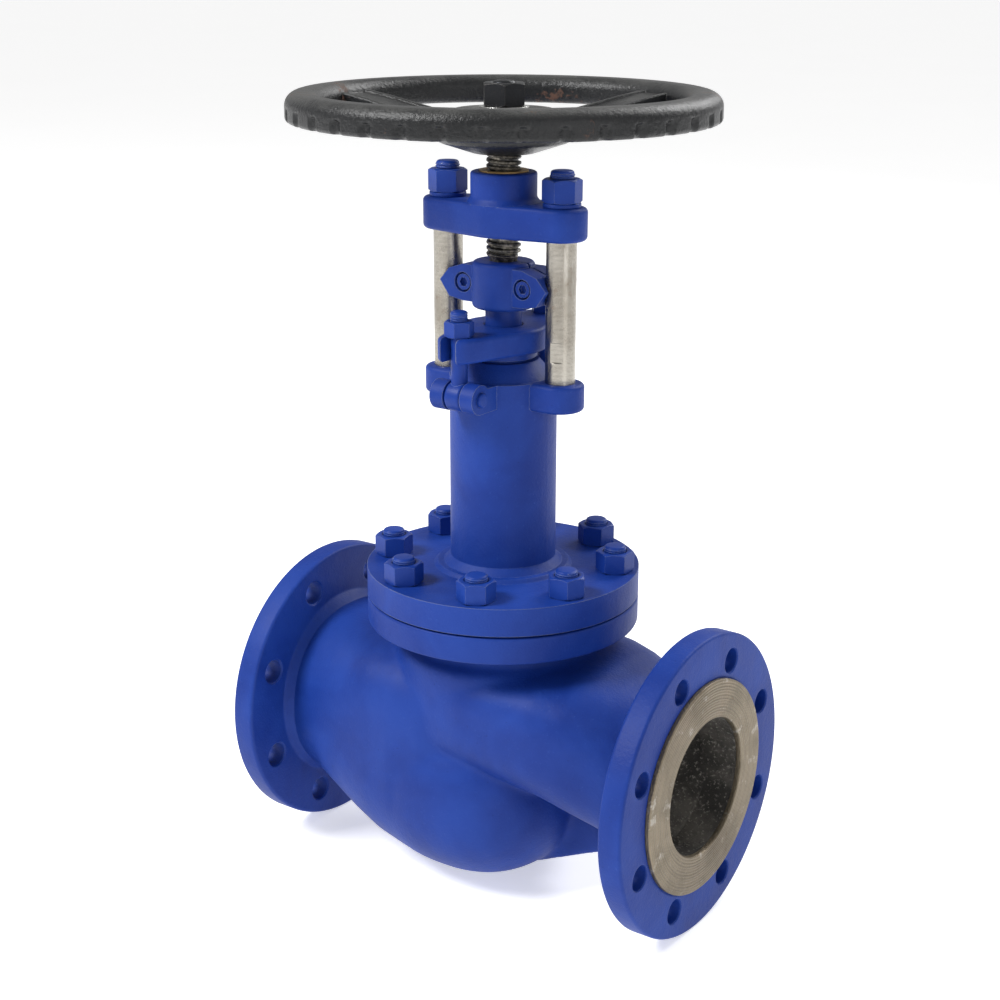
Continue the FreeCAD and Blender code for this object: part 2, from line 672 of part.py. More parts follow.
def make_clamp_half(side):
    """One half of the clamp, notched to ride on the pillars, on the side given as -1 or 1 along Y."""
    inner_y, outer_y = side * clamp_gap / 2, side * clamp_face_y
    low, high = clamp_screw_z - wing_height / 2, clamp_screw_z + wing_height / 2
    shoulder = clamp_screw_spacing / 2
    wing = [(-clamp_half_width, clamp_screw_z), (-clamp_half_width + 8, high - 4), (-shoulder, high),
            (shoulder, high), (clamp_half_width - 8, high - 4), (clamp_half_width, clamp_screw_z),
            (clamp_half_width - 8, low + 2), (shoulder, low), (-shoulder, low),
            (-clamp_half_width + 8, low + 2)]
    corners = [at(x, inner_y, z) for x, z in wing]
    wings = Part.Face(Part.makePolygon(corners + corners[:1]))
    wings = wings.extrude(FreeCAD.Vector(0, outer_y - inner_y, 0))
    middle = rod(clamp_body_radius, clamp_bottom_z, clamp_top_z)
    middle = round_edges(middle, 3.0, level_edges(clamp_bottom_z, clamp_top_z))
    y_low, y_high = sorted((inner_y, side * (clamp_body_radius + cut_margin)))
    middle = middle.common(block(-pillar_x, pillar_x, y_low, y_high, clamp_bottom_z, clamp_top_z))
    half = wings.fuse(middle)
    cutters = [clamp_cavity()]
    for hand in (-1, 1):
        x = hand * clamp_screw_spacing / 2
        cutters.append(rod(pillar_d / 2 + notch_clearance, clamp_bottom_z, clamp_top_z, hand * pillar_x))
        if side < 0:
            depth = clamp_screw_head_height + 1.0
            cutters.append(rod_along(clamp_counterbore_d / 2, depth + cut_margin,
                                     at(x, outer_y - cut_margin, clamp_screw_z), (0, 1, 0)))
            cutters.append(rod_along(clamp_screw_d / 2 + hole_clearance / 4, 2 * clamp_face_y,
                                     at(x, outer_y, clamp_screw_z), (0, 1, 0)))
        else:
            cutters.append(rod_along(clamp_screw_d / 2 + thread_gap, 2 * clamp_face_y,
                                     at(x, -cut_margin, clamp_screw_z), (0, 1, 0)))
    return half.cut(cutters)


def make_clamp_screws():
    """Two socket-head screws through the front half into the rear half."""
    socket_af = clamp_screw_d * 0.75
    head_y = -clamp_face_y + 1.0
    screws = []
    for hand in (-1, 1):
        x = hand * clamp_screw_spacing / 2
        head = rod_along(clamp_screw_head_d / 2, clamp_screw_head_height, at(x, head_y, clamp_screw_z),
                         (0, 1, 0))
        shank = rod_along(clamp_screw_d / 2, 2 * clamp_face_y - 3.0 - clamp_screw_head_height,
                          at(x, head_y + clamp_screw_head_height, clamp_screw_z), (0, 1, 0))
        corners = [at(x + socket_af / math.sqrt(3) * math.cos(math.radians(60 * k)), head_y - cut_margin,
                      clamp_screw_z + socket_af / math.sqrt(3) * math.sin(math.radians(60 * k)))
                   for k in range(6)]
        socket = Part.Face(Part.makePolygon(corners + corners[:1]))
        socket = socket.extrude(FreeCAD.Vector(0, clamp_screw_head_height / 2 + cut_margin, 0))
        screws.append(head.fuse(shank).cut(socket))
    return screws


# ---- Spindle and handwheel -------------------------------------------------------------------------------
def thread_rings(crest_r, bottom, top):
    """Outline points of the spindle's thread, drawn as grooves of its pitch and depth."""
    depth = thread_pitch / 2 + thread_relief
    lean = math.tan(math.radians(thread_flank_deg)) * depth / 2
    narrow = thread_pitch / 4 - lean
    wide = thread_pitch / 4 + lean
    points = []
    for k in range(int((top - bottom) / thread_pitch)):
        middle = bottom + (k + 0.5) * thread_pitch
        points += [(crest_r, middle - wide), (crest_r - depth, middle - narrow),
                   (crest_r - depth, middle + narrow), (crest_r, middle + wide)]
    return points


def make_spindle():
    """The threaded spindle: head in the clamp, thread, square for the wheel, nut thread."""
    crest_r = spindle_d / 2
    neck_r = spindle_neck_d / 2
    top = wheel_nut_top_z + wheel_thread_proud
    thread_r = wheel_thread_d / 2
    square_bottom = wheel_hub_bottom_z
    outline = [(0, spindle_foot_z), (spindle_head_d / 2, spindle_foot_z),
               (spindle_head_d / 2, spindle_foot_z + spindle_head_height),
               (neck_r, spindle_foot_z + spindle_head_height),
               (neck_r, clamp_top_z + 1.5), (crest_r, spindle_thread_bottom_z - 1.0)]
    outline += thread_rings(crest_r, spindle_thread_bottom_z, spindle_thread_top_z)
    outline += [(crest_r, square_bottom), (thread_r, square_bottom),
                (thread_r, top - 2.0), (thread_r - 3.0, top), (0, top)]
    square = block(-wheel_square / 2, wheel_square / 2, -wheel_square / 2, wheel_square / 2,
                   square_bottom, wheel_hub_top_z - 1.0)
    return turned(outline).fuse(square)


def make_thrust_ring():
    """The thrust disc between the stem top and the spindle foot."""
    return rod(stem_r - 1.0, stem_top_z, spindle_foot_z)


def make_spoke(angle_deg):
    """One flat spoke rising from the hub to the rim."""
    inner_r = wheel_hub_d / 2 - 6.0
    outer_r = wheel_od / 2 - wheel_rim_width / 2
    low, high = wheel_dish_z + 6.0, wheel_rim_top_z - 9.0
    side = [(inner_r, low), (wheel_dish_d / 2, low), (outer_r, high - spoke_thickness / 2),
            (outer_r, high + spoke_thickness / 2), (wheel_dish_d / 2, low + spoke_thickness),
            (inner_r, low + spoke_thickness)]
    corners = [at(r, -spoke_width_inner / 2, z) for r, z in side]
    slab = Part.Face(Part.makePolygon(corners + corners[:1]))
    slab = slab.extrude(FreeCAD.Vector(0, spoke_width_inner, 0))
    plan = prism([(inner_r, -spoke_width_inner / 2), (outer_r, -spoke_width_outer / 2),
                  (outer_r, spoke_width_outer / 2), (inner_r, spoke_width_inner / 2)], low - 5, high + 10)
    spoke = slab.common(plan)
    spoke.rotate(at(0, 0, 0), FreeCAD.Vector(0, 0, 1), angle_deg)
    return spoke


def make_handwheel():
    """The handwheel: rounded rim with grip notches, three spokes, dish and hub."""
    rim_r = wheel_od / 2 - wheel_rim_width / 2
    rim_z = wheel_rim_top_z - wheel_rim_height / 2
    section = Part.Ellipse(at(rim_r, 0, rim_z), wheel_rim_width / 2, wheel_rim_height / 2).toShape()
    section.rotate(at(rim_r, 0, rim_z), FreeCAD.Vector(1, 0, 0), 90)
    rim = Part.Face(Part.Wire(section)).revolve(at(0, 0, 0), FreeCAD.Vector(0, 0, 1), 360)
    notch_bottom = wheel_rim_top_z - wheel_rim_height - cut_margin
    notches = [rod(grip_notch_radius, notch_bottom, notch_bottom + grip_notch_height + cut_margin, x, y)
               for x, y, _ in on_circle(grip_notch_count, wheel_od + grip_notch_radius, 0.0)]
    rim = rim.cut(notches)
    hub = turned([(0, wheel_hub_bottom_z), (wheel_hub_d / 2 - 6.0, wheel_hub_bottom_z),
                  (wheel_dish_d / 2, wheel_dish_z), (wheel_dish_d / 2, wheel_dish_z + spoke_thickness),
                  (wheel_hub_d / 2 + 6.0, wheel_dish_z + spoke_thickness + 2.0),
                  (wheel_hub_d / 2, wheel_hub_top_z), (0, wheel_hub_top_z)])
    spokes = [make_spoke(a) for _, _, a in on_circle(spoke_count, wheel_od, spoke_first_deg)]
    half = wheel_square / 2 + running_clearance
    square_hole = block(-half, half, -half, half, wheel_hub_bottom_z - cut_margin,
                        wheel_hub_top_z + cut_margin)
    return hub.fuse([rim] + spokes).cut(square_hole)


# ---- Parts -----------------------------------------------------------------------------------------------
def export(name, solids):
    """Write one node, as a solid or as a group of separate solids."""
    shape = solids if not isinstance(solids, list) else Part.makeCompound(solids)
    shape.exportStep(f"parts/{name}.step")


def main():
    """Build every node of the valve."""
    os.makedirs("parts", exist_ok=True)
    export("body_casting", make_body())
    export("seat_ring", make_seat_ring())
    export("bonnet_gasket", make_gasket())
    export("bonnet", make_bonnet())
    export("bonnet_studs", [stud(bonnet_stud_d, bonnet_joint_z - bonnet_stud_grip, bonnet_stud_top_z, x, y)
                            for x, y, _ in stud_places()])
    nut_top = bonnet_flange_top_z + 14.8
    export("bonnet_nuts", [nut(m16_across_flats, bonnet_stud_d, bonnet_flange_top_z, nut_top, x, y, a)
                           for x, y, a in stud_places()])
    washer_top = bridge_top_z + pillar_washer_thickness
    for side, word in ((-1, "left"), (1, "right")):
        export(f"pillar_{word}", make_pillar(side))
    hole_r = pillar_thread_d / 2 + hole_clearance / 2
    export("pillar_washers", [tube(pillar_washer_d / 2, hole_r, bridge_top_z, washer_top, s * pillar_x)
                              for s in (-1, 1)])
    export("pillar_nuts", [nut(m16_across_flats, pillar_thread_d, washer_top,
                               washer_top + pillar_nut_height, s * pillar_x, 0, 0) for s in (-1, 1)])
    export("yoke_bridge", make_bridge())
    export("yoke_bush", make_bush())
    export("packing_rings", make_packing())
    export("junk_ring", tube(packing_outer_r, stem_r + sliding_clearance,
                             packing_bottom_z - junk_ring_height, packing_bottom_z))
    export("gland_follower", make_gland_follower())
    export("gland_flange", make_gland_flange())
    for side, word in ((-1, "front"), (1, "rear")):
        export(f"gland_bolt_{word}", make_eye_bolt(side))
        export(f"gland_nut_{word}", nut(m12_across_flats, gland_bolt_d, gland_flange_top_z,
                                        gland_nut_top_z, 0, side * gland_bolt_offset, 30))
        export(f"clevis_pin_{word}", make_clevis_pin(side))
        export(f"clamp_{word}", make_clamp_half(side))
    export("clamp_screws", make_clamp_screws())
    export("lower_stem", make_lower_stem())
    export("disc", make_disc())
    export("disc_retainer", make_disc_retainer())
    export("bellows", make_bellows())
    top_ring, bottom_ring = make_bellows_rings()
    export("bellows_top_ring", top_ring)
    export("bellows_bottom_ring", bottom_ring)
    export("thrust_ring", make_thrust_ring())
    export("spindle", make_spindle())
    export("handwheel", make_handwheel())
    export("wheel_washer", tube(wheel_washer_d / 2, wheel_thread_d / 2 + hole_clearance / 2,
                                wheel_washer_z, wheel_nut_z))
    export("wheel_nut", nut(m16_across_flats, wheel_thread_d, wheel_nut_z, wheel_nut_top_z, 0, 0, 15))


main()
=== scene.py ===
"""Looks of a flanged globe valve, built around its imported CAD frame.

The sizes of parts are in millimetres and their heights are measured from the flow axis, as a fitter
would read a valve drawing. The helpers turn both into the frame's metres. The finishes, the studio
and whatever a docstring says is in metres are in metres.
"""

import json
import logging
import math
from dataclasses import dataclass
from enum import Enum
from typing import Any, Iterable, Sequence

import bmesh
import bpy
from mathutils import Matrix, Vector


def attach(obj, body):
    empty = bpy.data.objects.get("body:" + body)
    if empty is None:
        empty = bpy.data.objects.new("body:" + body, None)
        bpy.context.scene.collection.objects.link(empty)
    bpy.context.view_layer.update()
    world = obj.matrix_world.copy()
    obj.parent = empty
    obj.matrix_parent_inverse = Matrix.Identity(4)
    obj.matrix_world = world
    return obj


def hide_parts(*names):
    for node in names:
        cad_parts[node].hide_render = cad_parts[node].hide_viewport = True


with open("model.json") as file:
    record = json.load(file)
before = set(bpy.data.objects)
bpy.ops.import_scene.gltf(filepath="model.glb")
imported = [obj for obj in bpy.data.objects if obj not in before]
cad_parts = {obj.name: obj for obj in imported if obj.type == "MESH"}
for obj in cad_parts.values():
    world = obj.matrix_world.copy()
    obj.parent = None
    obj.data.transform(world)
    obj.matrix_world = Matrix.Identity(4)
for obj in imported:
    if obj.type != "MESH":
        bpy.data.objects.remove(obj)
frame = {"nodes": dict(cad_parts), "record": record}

MM = 0.001
FLOW_Z = next(m["pos_m"][2] for m in frame["record"]["mounts"] if m["name"] == "inlet_flange")
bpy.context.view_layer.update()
LARGE_NUT_FLATS = 24.0
LARGE_NUT_HOLE = 7.9
WHEEL_NUT_FLATS = 27.0
SWING_NUT_FLATS = 18.0
SWING_NUT_HOLE = 5.9
CUT_SHARP_DEG = 35.0
JOINED_SHARP_DEG = 40.0
PATTERN_SHARP_DEG = 30.0
OVAL_POINTS = 96
WHITE = (1.0, 1.0, 1.0, 1.0)
log = logging.getLogger("globe_valve")

Point = tuple[float, float]
Corner = tuple[float, float, float]


class Axis(Enum):
    """The line that a turned piece is turned about."""

    STEM = "z"
    FLOW = "x"


class Cut(Enum):
    """How two closed meshes are combined."""

    ADD = "UNION"
    TAKE = "DIFFERENCE"


# ---- Shader graph ------------------------------------------------------------------------------------
class Sock:
    """One output socket of a shader graph, with arithmetic that adds Math nodes."""

    def __init__(self, net: "Net", socket: Any) -> None:
        """Args:
            net: the graph that the socket belongs to.
            socket: the Blender output socket.
        """
        self.net = net
        self.socket = socket

    def _math(self, operation: str, *values: Any) -> "Sock":
        """Adds a Math node. Args: operation, values in socket order. Returns: its output."""
        return self.net.add("ShaderNodeMath", {"operation": operation}, dict(enumerate(values)))

    def __add__(self, other: Any) -> "Sock":
        """Returns: the sum."""
        return self._math("ADD", self, other)

    def __mul__(self, other: Any) -> "Sock":
        """Returns: the product."""
        return self._math("MULTIPLY", self, other)

    def __sub__(self, other: Any) -> "Sock":
        """Returns: the difference."""
        return self._math("SUBTRACT", self, other)

    def __rsub__(self, other: Any) -> "Sock":
        """Returns: the reflected difference."""
        return self._math("SUBTRACT", other, self)

    __radd__ = __add__

    def sine(self) -> "Sock":
        """Returns: the sine of the value."""
        return self._math("SINE", self)

    def power(self, exponent: float) -> "Sock":
        """Returns: the value to that power."""
        return self._math("POWER", self, exponent)

    def step(self, low: float, high: float) -> "Sock":
        """A smooth step from 0 at low to 1 at high.

        Args:
            low: the value that gives 0.
            high: the value that gives 1.
        Returns:
            The mask.
        """
        inputs = {"Value": self, "From Min": low, "From Max": high}
        return self.net.add("ShaderNodeMapRange", {"interpolation_type": "SMOOTHSTEP"}, inputs)


class Net:
    """A material's shader graph, built one node at a time."""

    def __init__(self, name: str) -> None:
        """Args:
            name: the material's name.
        """
        self.material = bpy.data.materials.new(name)
        self.material.use_nodes = True
        self.tree = self.material.node_tree
        self.tree.nodes.clear()

    def add(self, kind: str, settings: dict[str, Any] | None = None,
            inputs: dict[Any, Any] | None = None, out: Any = 0) -> Sock:
        """Adds a node.

        Args:
            kind: the node's type.
            settings: its settings, set first.
            inputs: a value or a Sock for each input, by name or number.
            out: the output to return, by name or number.
        Returns:
            That output.
        """
        node = self.tree.nodes.new(kind)
        for key, value in (settings or {}).items():
            setattr(node, key, value)
        for key, value in (inputs or {}).items():
            socket = node.inputs[key]
            if isinstance(value, Sock):
                self.tree.links.new(value.socket, socket)
            else:
                socket.default_value = value
        return Sock(self, node.outputs[out])

    def place(self) -> Sock:
        """Returns: the point on the surface, in the object's own metres."""
        return self.add("ShaderNodeTexCoord", out="Object")

    def split(self, vector: Sock) -> tuple[Sock, Sock, Sock]:
        """Returns: the vector's x, y and z."""
        first = self.add("ShaderNodeSeparateXYZ", None, {0: vector})
        node = first.socket.node
        return first, Sock(self, node.outputs[1]), Sock(self, node.outputs[2])

    def noise(self, scale: float, detail: float = 3.0, roughness: float = 0.55,
              where: Sock | None = None, distortion: float = 0.0) -> Sock:
        """Fractal noise, about 0 to 1.

        Args:
            scale: patches to the metre.
            detail: octaves.
            roughness: the strength of the finer octaves.
            where: the coordinates, or None for the object's own.
            distortion: how far the pattern is warped.
        Returns:
            The noise value.
        """
        inputs = {"Vector": where or self.place(), "Scale": scale, "Detail": detail,
                  "Roughness": roughness, "Distortion": distortion}
        return self.add("ShaderNodeTexNoise", None, inputs)

    def stretched(self, scale: Corner) -> Sock:
        """Returns: the object's coordinates stretched by a factor along each axis."""
        return self.add("ShaderNodeMapping", None, {"Vector": self.place(), "Scale": scale})

    def blend(self, mask: Any, first: Any, second: Any) -> Sock:
        """Mixes two colours.

        Args:
            mask: 0 gives the first colour, 1 the second.
            first: a colour or a Sock.
            second: a colour or a Sock.
        Returns:
            The mixed colour.
        """
        settings = {"data_type": "RGBA", "blend_type": "MIX", "clamp_factor": True}
        colours = [(*c, 1.0) if isinstance(c, tuple) else c for c in (first, second)]
        return self.add("ShaderNodeMix", settings, {0: mask, 6: colours[0], 7: colours[1]}, out=2)

    def edges(self, radius: float) -> tuple[Sock, Sock]:
        """A softened normal, and how near a sharp edge the point lies.

        Args:
            radius: the edge radius in metres.
        Returns:
            The normal, and a mask that rises towards edges.
        """
        soft = self.add("ShaderNodeBevel", {"samples": 6}, {"Radius": radius})
        true = self.add("ShaderNodeNewGeometry", out="Normal")
        dot = self.add("ShaderNodeVectorMath", {"operation": "DOT_PRODUCT"}, {0: soft, 1: true},
                       out="Value")
        return soft, 1.0 - dot

    def bump(self, height: Sock, distance: float, strength: float = 1.0,
             normal: Sock | None = None) -> Sock:
        """Returns: a normal raised by a height field of that depth in metres."""
        inputs: dict[Any, Any] = {"Height": height, "Distance": distance, "Strength": strength}
        if normal is not None:
            inputs["Normal"] = normal
        return self.add("ShaderNodeBump", None, inputs)

    def close(self, colour: Any, roughness: Any, metallic: Any, normal: Sock | None,
              **extra: Any) -> Any:
        """Ends the graph in a Principled shader.

        Args:
            colour: the base colour.
            roughness: the surface roughness.
            metallic: 0 for paint, 1 for bare metal.
            normal: the bumped normal, or None.
            extra: other sockets, with underscores for spaces.
        Returns:
            The material.
        """
        inputs: dict[Any, Any] = {"Roughness": roughness, "Metallic": metallic}
        inputs["Base Color"] = (*colour, 1.0) if isinstance(colour, tuple) else colour
        if normal is not None:
            inputs["Normal"] = normal
        for key, value in extra.items():
            inputs[key.replace("_", " ")] = value
        shader = self.add("ShaderNodeBsdfPrincipled", None, inputs)
        output = self.tree.nodes.new("ShaderNodeOutputMaterial")
        self.tree.links.new(shader.socket, output.inputs["Surface"])
        return self.material


# ---- Finishes ----------------------------------------------------------------------------------------
@dataclass(frozen=True)
class CastPaint:
    """Satin enamel brushed over a sand casting: orange peel, cast pits, rubbed edges and dust."""

    name: str
    colour: Corner = (0.0095, 0.0430, 0.2700)
    deep: Corner = (0.0040, 0.0260, 0.2000)
    rubbed: Corner = (0.040, 0.100, 0.370)
    grain_depth: float = 0.00035
    grain_scale: float = 520.0
    gloss: float = 0.42
    edge_radius: float = 0.0012

    def make(self) -> Any:
        """Returns: the material."""
        net = Net(self.name)
        cast = net.noise(self.grain_scale, 4.0, 0.6)
        waves = net.noise(70.0, 3.0, 0.5)
        cloud = net.noise(14.0, 3.0, 0.6, distortion=0.4)
        speck = net.noise(1500.0, 2.0, 0.5)
        soft, near = net.edges(self.edge_radius)
        tone = net.blend(cloud.step(0.30, 0.72), self.deep, self.colour)
        tone = net.blend(cast.step(0.60, 0.78) * 0.30, tone, self.rubbed)
        wear = (near * 5.0 + waves * 0.30 - 0.22).step(0.05, 0.75)
        tone = net.blend(wear * 0.55, tone, self.rubbed)
        pits = cast.step(0.36, 0.20)
        tone = net.blend(pits * 0.6, tone, (0.004, 0.009, 0.070))
        chips = (near * 4.0 + net.noise(120.0, 4.0, 0.6) - 0.60).step(0.62, 0.68)
        tone = net.blend(chips * 0.7, tone, (0.24, 0.25, 0.27))
        height = cast * 0.75 + waves * 1.6 + speck * 0.12
        normal = net.bump(height, self.grain_depth, 0.9, soft)
        rough = self.gloss + cloud * 0.14 + pits * 0.2 + speck * 0.05
        return net.close(tone, rough, 0.0, normal, Specular_IOR_Level=0.20)


@dataclass(frozen=True)
class TurnedSteel:
    """Bare turned steel, with tool grooves round an axis, thin oil stains and a little rust. Where set,
    it also has painted light: painted shade in bands along the grooves, and on the pillars painted
    reflection streaks along their length.
    """

    name: str
    colour: Corner = (0.42, 0.40, 0.36)
    stain_and_groove_shade: Corner = (0.22, 0.19, 0.15)
    rust: float = 0.2
    gloss: float = 0.36
    groove: float = 0.00006
    pitch: float = 0.0008
    faced: bool = False
    groove_shade: float = 0.0
    grain_and_reflection_stretch: float = 14.0

    def make(self) -> Any:
        """Returns: the material."""
        net = Net(self.name)
        _, y, z = net.split(net.place())
        if self.faced:
            z = z - FLOW_Z
            run = (y * y + z * z).power(0.5)
            long = net.place()
        else:
            run = z
            long = net.stretched((1.0, 1.0, self.grain_and_reflection_stretch))
        ridges = (run * (2.0 * math.pi / self.pitch)).sine()
        ridges = ridges + (run * (2.0 * math.pi / self.pitch / 3.7)).sine() * 0.4
        scuffs_and_reflection_streaks = net.noise(90.0, 5.0, 0.65, long)
        cloud = net.noise(28.0, 4.0, 0.6)
        fine = net.noise(700.0, 2.0, 0.5, long)
        soft, _ = net.edges(0.0006)
        tone = net.blend(cloud.step(0.40, 0.70) * 0.55, self.colour, self.stain_and_groove_shade)
        # on the pillars these light streaks run lengthwise and are painted reflection strips; on the
        # other parts they are scuffs
        tone = net.blend(scuffs_and_reflection_streaks.step(0.58, 0.70) * 0.45, tone, (0.62, 0.60, 0.56))
        spots = (net.noise(160.0, 5.0, 0.7) * 0.7 + cloud * 0.5).step(0.70, 0.80)
        tone = net.blend(spots * self.rust, tone, (0.16, 0.075, 0.035))
        # painted shade: darker bands along the turning ridges, standing in for the dark bands that light
        # makes on the grooves
        tone = net.blend(ridges.step(0.2, 1.3) * self.groove_shade, tone, self.stain_and_groove_shade)
        rough = self.gloss + cloud * 0.12 + scuffs_and_reflection_streaks * 0.14 + spots * 0.25
        normal = net.bump(ridges * 0.5 + fine * 1.2 + scuffs_and_reflection_streaks * 0.8, self.groove, 1.0, soft)
        return net.close(tone, rough, 1.0 - spots * 0.7 * self.rust, normal)


@dataclass(frozen=True)
class WheelEnamel:
    """Black gloss over a rough iron casting, with dust on top faces and rust where hands rub."""

    name: str
    colour: Corner = (0.006, 0.0065, 0.0075)
    dust: Corner = (0.20, 0.20, 0.19)
    dust_level: float = 0.30
    rust_level: float = 0.55

    def make(self) -> Any:
        """Returns: the material."""
        net = Net(self.name)
        lumps = net.noise(330.0, 4.0, 0.62)
        fine = net.noise(1100.0, 3.0, 0.6)
        cloud = net.noise(22.0, 4.0, 0.6, distortion=0.6)
        soft, near = net.edges(0.0010)
        normal_z = net.split(net.add("ShaderNodeNewGeometry", out="Normal"))[2]
        up = normal_z.step(0.35, 0.95)
        tone = net.blend(lumps.step(0.55, 0.75) * 0.35, self.colour, (0.022, 0.023, 0.025))
        settled = up * (cloud * 0.8 + fine * 0.6).step(0.52, 0.90) * self.dust_level
        tone = net.blend(settled, tone, self.dust)
        patch = (cloud + lumps * 0.35).step(0.83, 0.90) * self.rust_level
        tone = net.blend(patch, tone, (0.13, 0.055, 0.030))
        chips = (near * 5.0 + fine * 0.8 - 0.35).step(0.55, 0.75)
        tone = net.blend(chips * 0.20, tone, (0.16, 0.15, 0.14))
        rough = 0.27 + settled * 0.6 + patch * 0.45 + fine * 0.12
        normal = net.bump(lumps * 1.3 + fine * 0.35, 0.0005, 1.0, soft)
        return net.close(tone, rough, 0.0, normal, Specular_IOR_Level=0.40)


@dataclass(frozen=True)
class RoughCast:
    """The bare, dark inside of the casting: sand pits and brown-grey scale."""

    name: str

    def make(self) -> Any:
        """Returns: the material."""
        net = Net(self.name)
        sand = net.noise(420.0, 5.0, 0.65)
        cloud = net.noise(30.0, 4.0, 0.6)
        tone = net.blend(cloud.step(0.35, 0.7), (0.035, 0.033, 0.030), (0.13, 0.12, 0.105))
        tone = net.blend(sand.step(0.54, 0.68) * 0.8, tone, (0.32, 0.30, 0.27))
        normal = net.bump(sand * 1.5 + cloud, 0.0014)
        return net.close(tone, 0.62 + sand * 0.25, 0.15, normal)


@dataclass(frozen=True)
class GreasySteel:
    """Cut thread in dark steel with grease in the roots and bright crests."""

    name: str
    colour: Corner = (0.34, 0.31, 0.26)
    grease: Corner = (0.012, 0.011, 0.010)
    cover: float = 0.75

    def make(self) -> Any:
        """Returns: the material."""
        net = Net(self.name)
        soft, near = net.edges(0.0005)
        blot = net.noise(140.0, 4.0, 0.65)
        fine = net.noise(900.0, 3.0, 0.6)
        film = (blot - near * 1.2).step(0.62 - self.cover * 0.4, 0.80 - self.cover * 0.3)
        tone = net.blend(film, self.colour, self.grease)
        rough = 0.42 - film * 0.14 + fine * 0.10
        normal = net.bump(fine + blot * 2.0, 0.00012, 1.0, soft)
        return net.close(tone, rough, 1.0 - film * 0.8, normal)


@dataclass(frozen=True)
class BlackOxide:
    """Black oxide on a forged nut or screw, worn brown on its corners."""

    name: str
    colour: Corner = (0.022, 0.023, 0.026)
    rubbed: Corner = (0.13, 0.12, 0.11)

    def make(self) -> Any:
        """Returns: the material."""
        net = Net(self.name)
        soft, near = net.edges(0.0008)
        forge = net.noise(480.0, 4.0, 0.6)
        cloud = net.noise(60.0, 3.0, 0.6)
        wear = (near * 6.0 + cloud * 0.5 - 0.30).step(0.10, 0.8)
        tone = net.blend(wear * 0.6, self.colour, self.rubbed)
        tone = net.blend(forge.step(0.62, 0.75) * 0.35, tone, (0.07, 0.055, 0.045))
        normal = net.bump(forge + cloud * 1.4, 0.0002, 1.0, soft)
        return net.close(tone, 0.34 + forge * 0.18, 0.75, normal)


@dataclass(frozen=True)
class PlainMetal:
    """A sheet, cast or pressed metal or a soft packing with its own fine grain."""

    name: str
    colour: Corner
    second: Corner
    metallic: float = 1.0
    gloss: float = 0.35
    grain: float = 600.0
    depth: float = 0.0001

    def make(self) -> Any:
        """Returns: the material."""
        net = Net(self.name)
        soft, near = net.edges(0.0005)
        grain = net.noise(self.grain, 4.0, 0.6)
        cloud = net.noise(45.0, 4.0, 0.6)
        tone = net.blend(cloud.step(0.35, 0.7), self.colour, self.second)
        tone = net.blend((near * 4.0).step(0.1, 0.9) * 0.3, tone, (0.7, 0.68, 0.64))
        normal = net.bump(grain + cloud, self.depth, 1.0, soft)
        return net.close(tone, self.gloss + grain * 0.15 + cloud * 0.08, self.metallic, normal)


class Paints:
    """Every finish on the valve, each made once."""

    def __init__(self) -> None:
        """Makes the finishes."""
        self.casting = CastPaint("casting_blue").make()
        self.smooth = CastPaint("machined_blue", grain_depth=0.00018, grain_scale=800.0,
                                gloss=0.32, edge_radius=0.0008).make()
        # the flange faces get painted shade in bands along their turning grooves
        self.face = TurnedSteel("flange_face_steel", (0.245, 0.205, 0.150), (0.13, 0.11, 0.08),
                                rust=0.45, groove=0.00045, pitch=0.0021, faced=True,
                                groove_shade=0.55).make()
        # the pillars' lengthwise light streaks are painted reflection strips, not scuffs
        self.pillar = TurnedSteel("pillar_steel", (0.42, 0.395, 0.35), (0.20, 0.175, 0.14),
                                  rust=0.30, gloss=0.13, grain_and_reflection_stretch=0.12).make()
        self.stem = TurnedSteel("stem_steel", (0.50, 0.48, 0.44), rust=0.15, gloss=0.22).make()
        self.bore = RoughCast("bore_scale").make()
        self.thread = GreasySteel("spindle_thread_steel").make()
        self.wheel = WheelEnamel("wheel_enamel").make()
        self.hub = WheelEnamel("wheel_hub_enamel", dust_level=0.85, rust_level=0.3).make()
        self.oxide = BlackOxide("black_oxide").make()
        self.zinc = PlainMetal("bright_zinc", (0.66, 0.66, 0.64), (0.50, 0.50, 0.48), gloss=0.22).make()
        self.bronze = PlainMetal("turned_bronze", (0.50, 0.33, 0.14), (0.34, 0.22, 0.10)).make()
        self.graphite = PlainMetal("graphite_gasket", (0.05, 0.05, 0.052), (0.10, 0.10, 0.10),
                                   metallic=0.1, gloss=0.55).make()
        self.hard = PlainMetal("hard_seat_steel", (0.56, 0.56, 0.54), (0.42, 0.42, 0.40)).make()


# ---- Mesh tools --------------------------------------------------------------------------------------
def rounded(corners: Sequence[Corner], steps: int = 5) -> list[Point]:
    """Rounds the corners of a closed outline.

    Args:
        corners: (across, along, radius) of each corner, in order.
        steps: points on each rounded corner, less one.
    Returns:
        The outline's points.
    """
    out: list[Point] = []
    count = len(corners)
    for i, (a, b, radius) in enumerate(corners):
        here = Vector((a, b))
        if radius <= 0:
            out.append((a, b))
            continue
        back = Vector(corners[i - 1][:2]) - here
        ahead = Vector(corners[(i + 1) % count][:2]) - here
        half = back.angle(ahead) / 2
        reach = min(radius / math.tan(half), 0.48 * back.length, 0.48 * ahead.length)
        if reach < 1e-3:
            out.append((a, b))
            continue
        radius = reach * math.tan(half)
        back.normalize()
        ahead.normalize()
        centre = here + (back + ahead).normalized() * (radius / math.sin(half))
        first = here + back * reach - centre
        turn = first.angle_signed(here + ahead * reach - centre)
        for k in range(steps + 1):
            angle = -turn * k / steps
            arm = Vector((first.x * math.cos(angle) - first.y * math.sin(angle),
                          first.x * math.sin(angle) + first.y * math.cos(angle)))
            out.append(tuple(centre + arm))
    return out


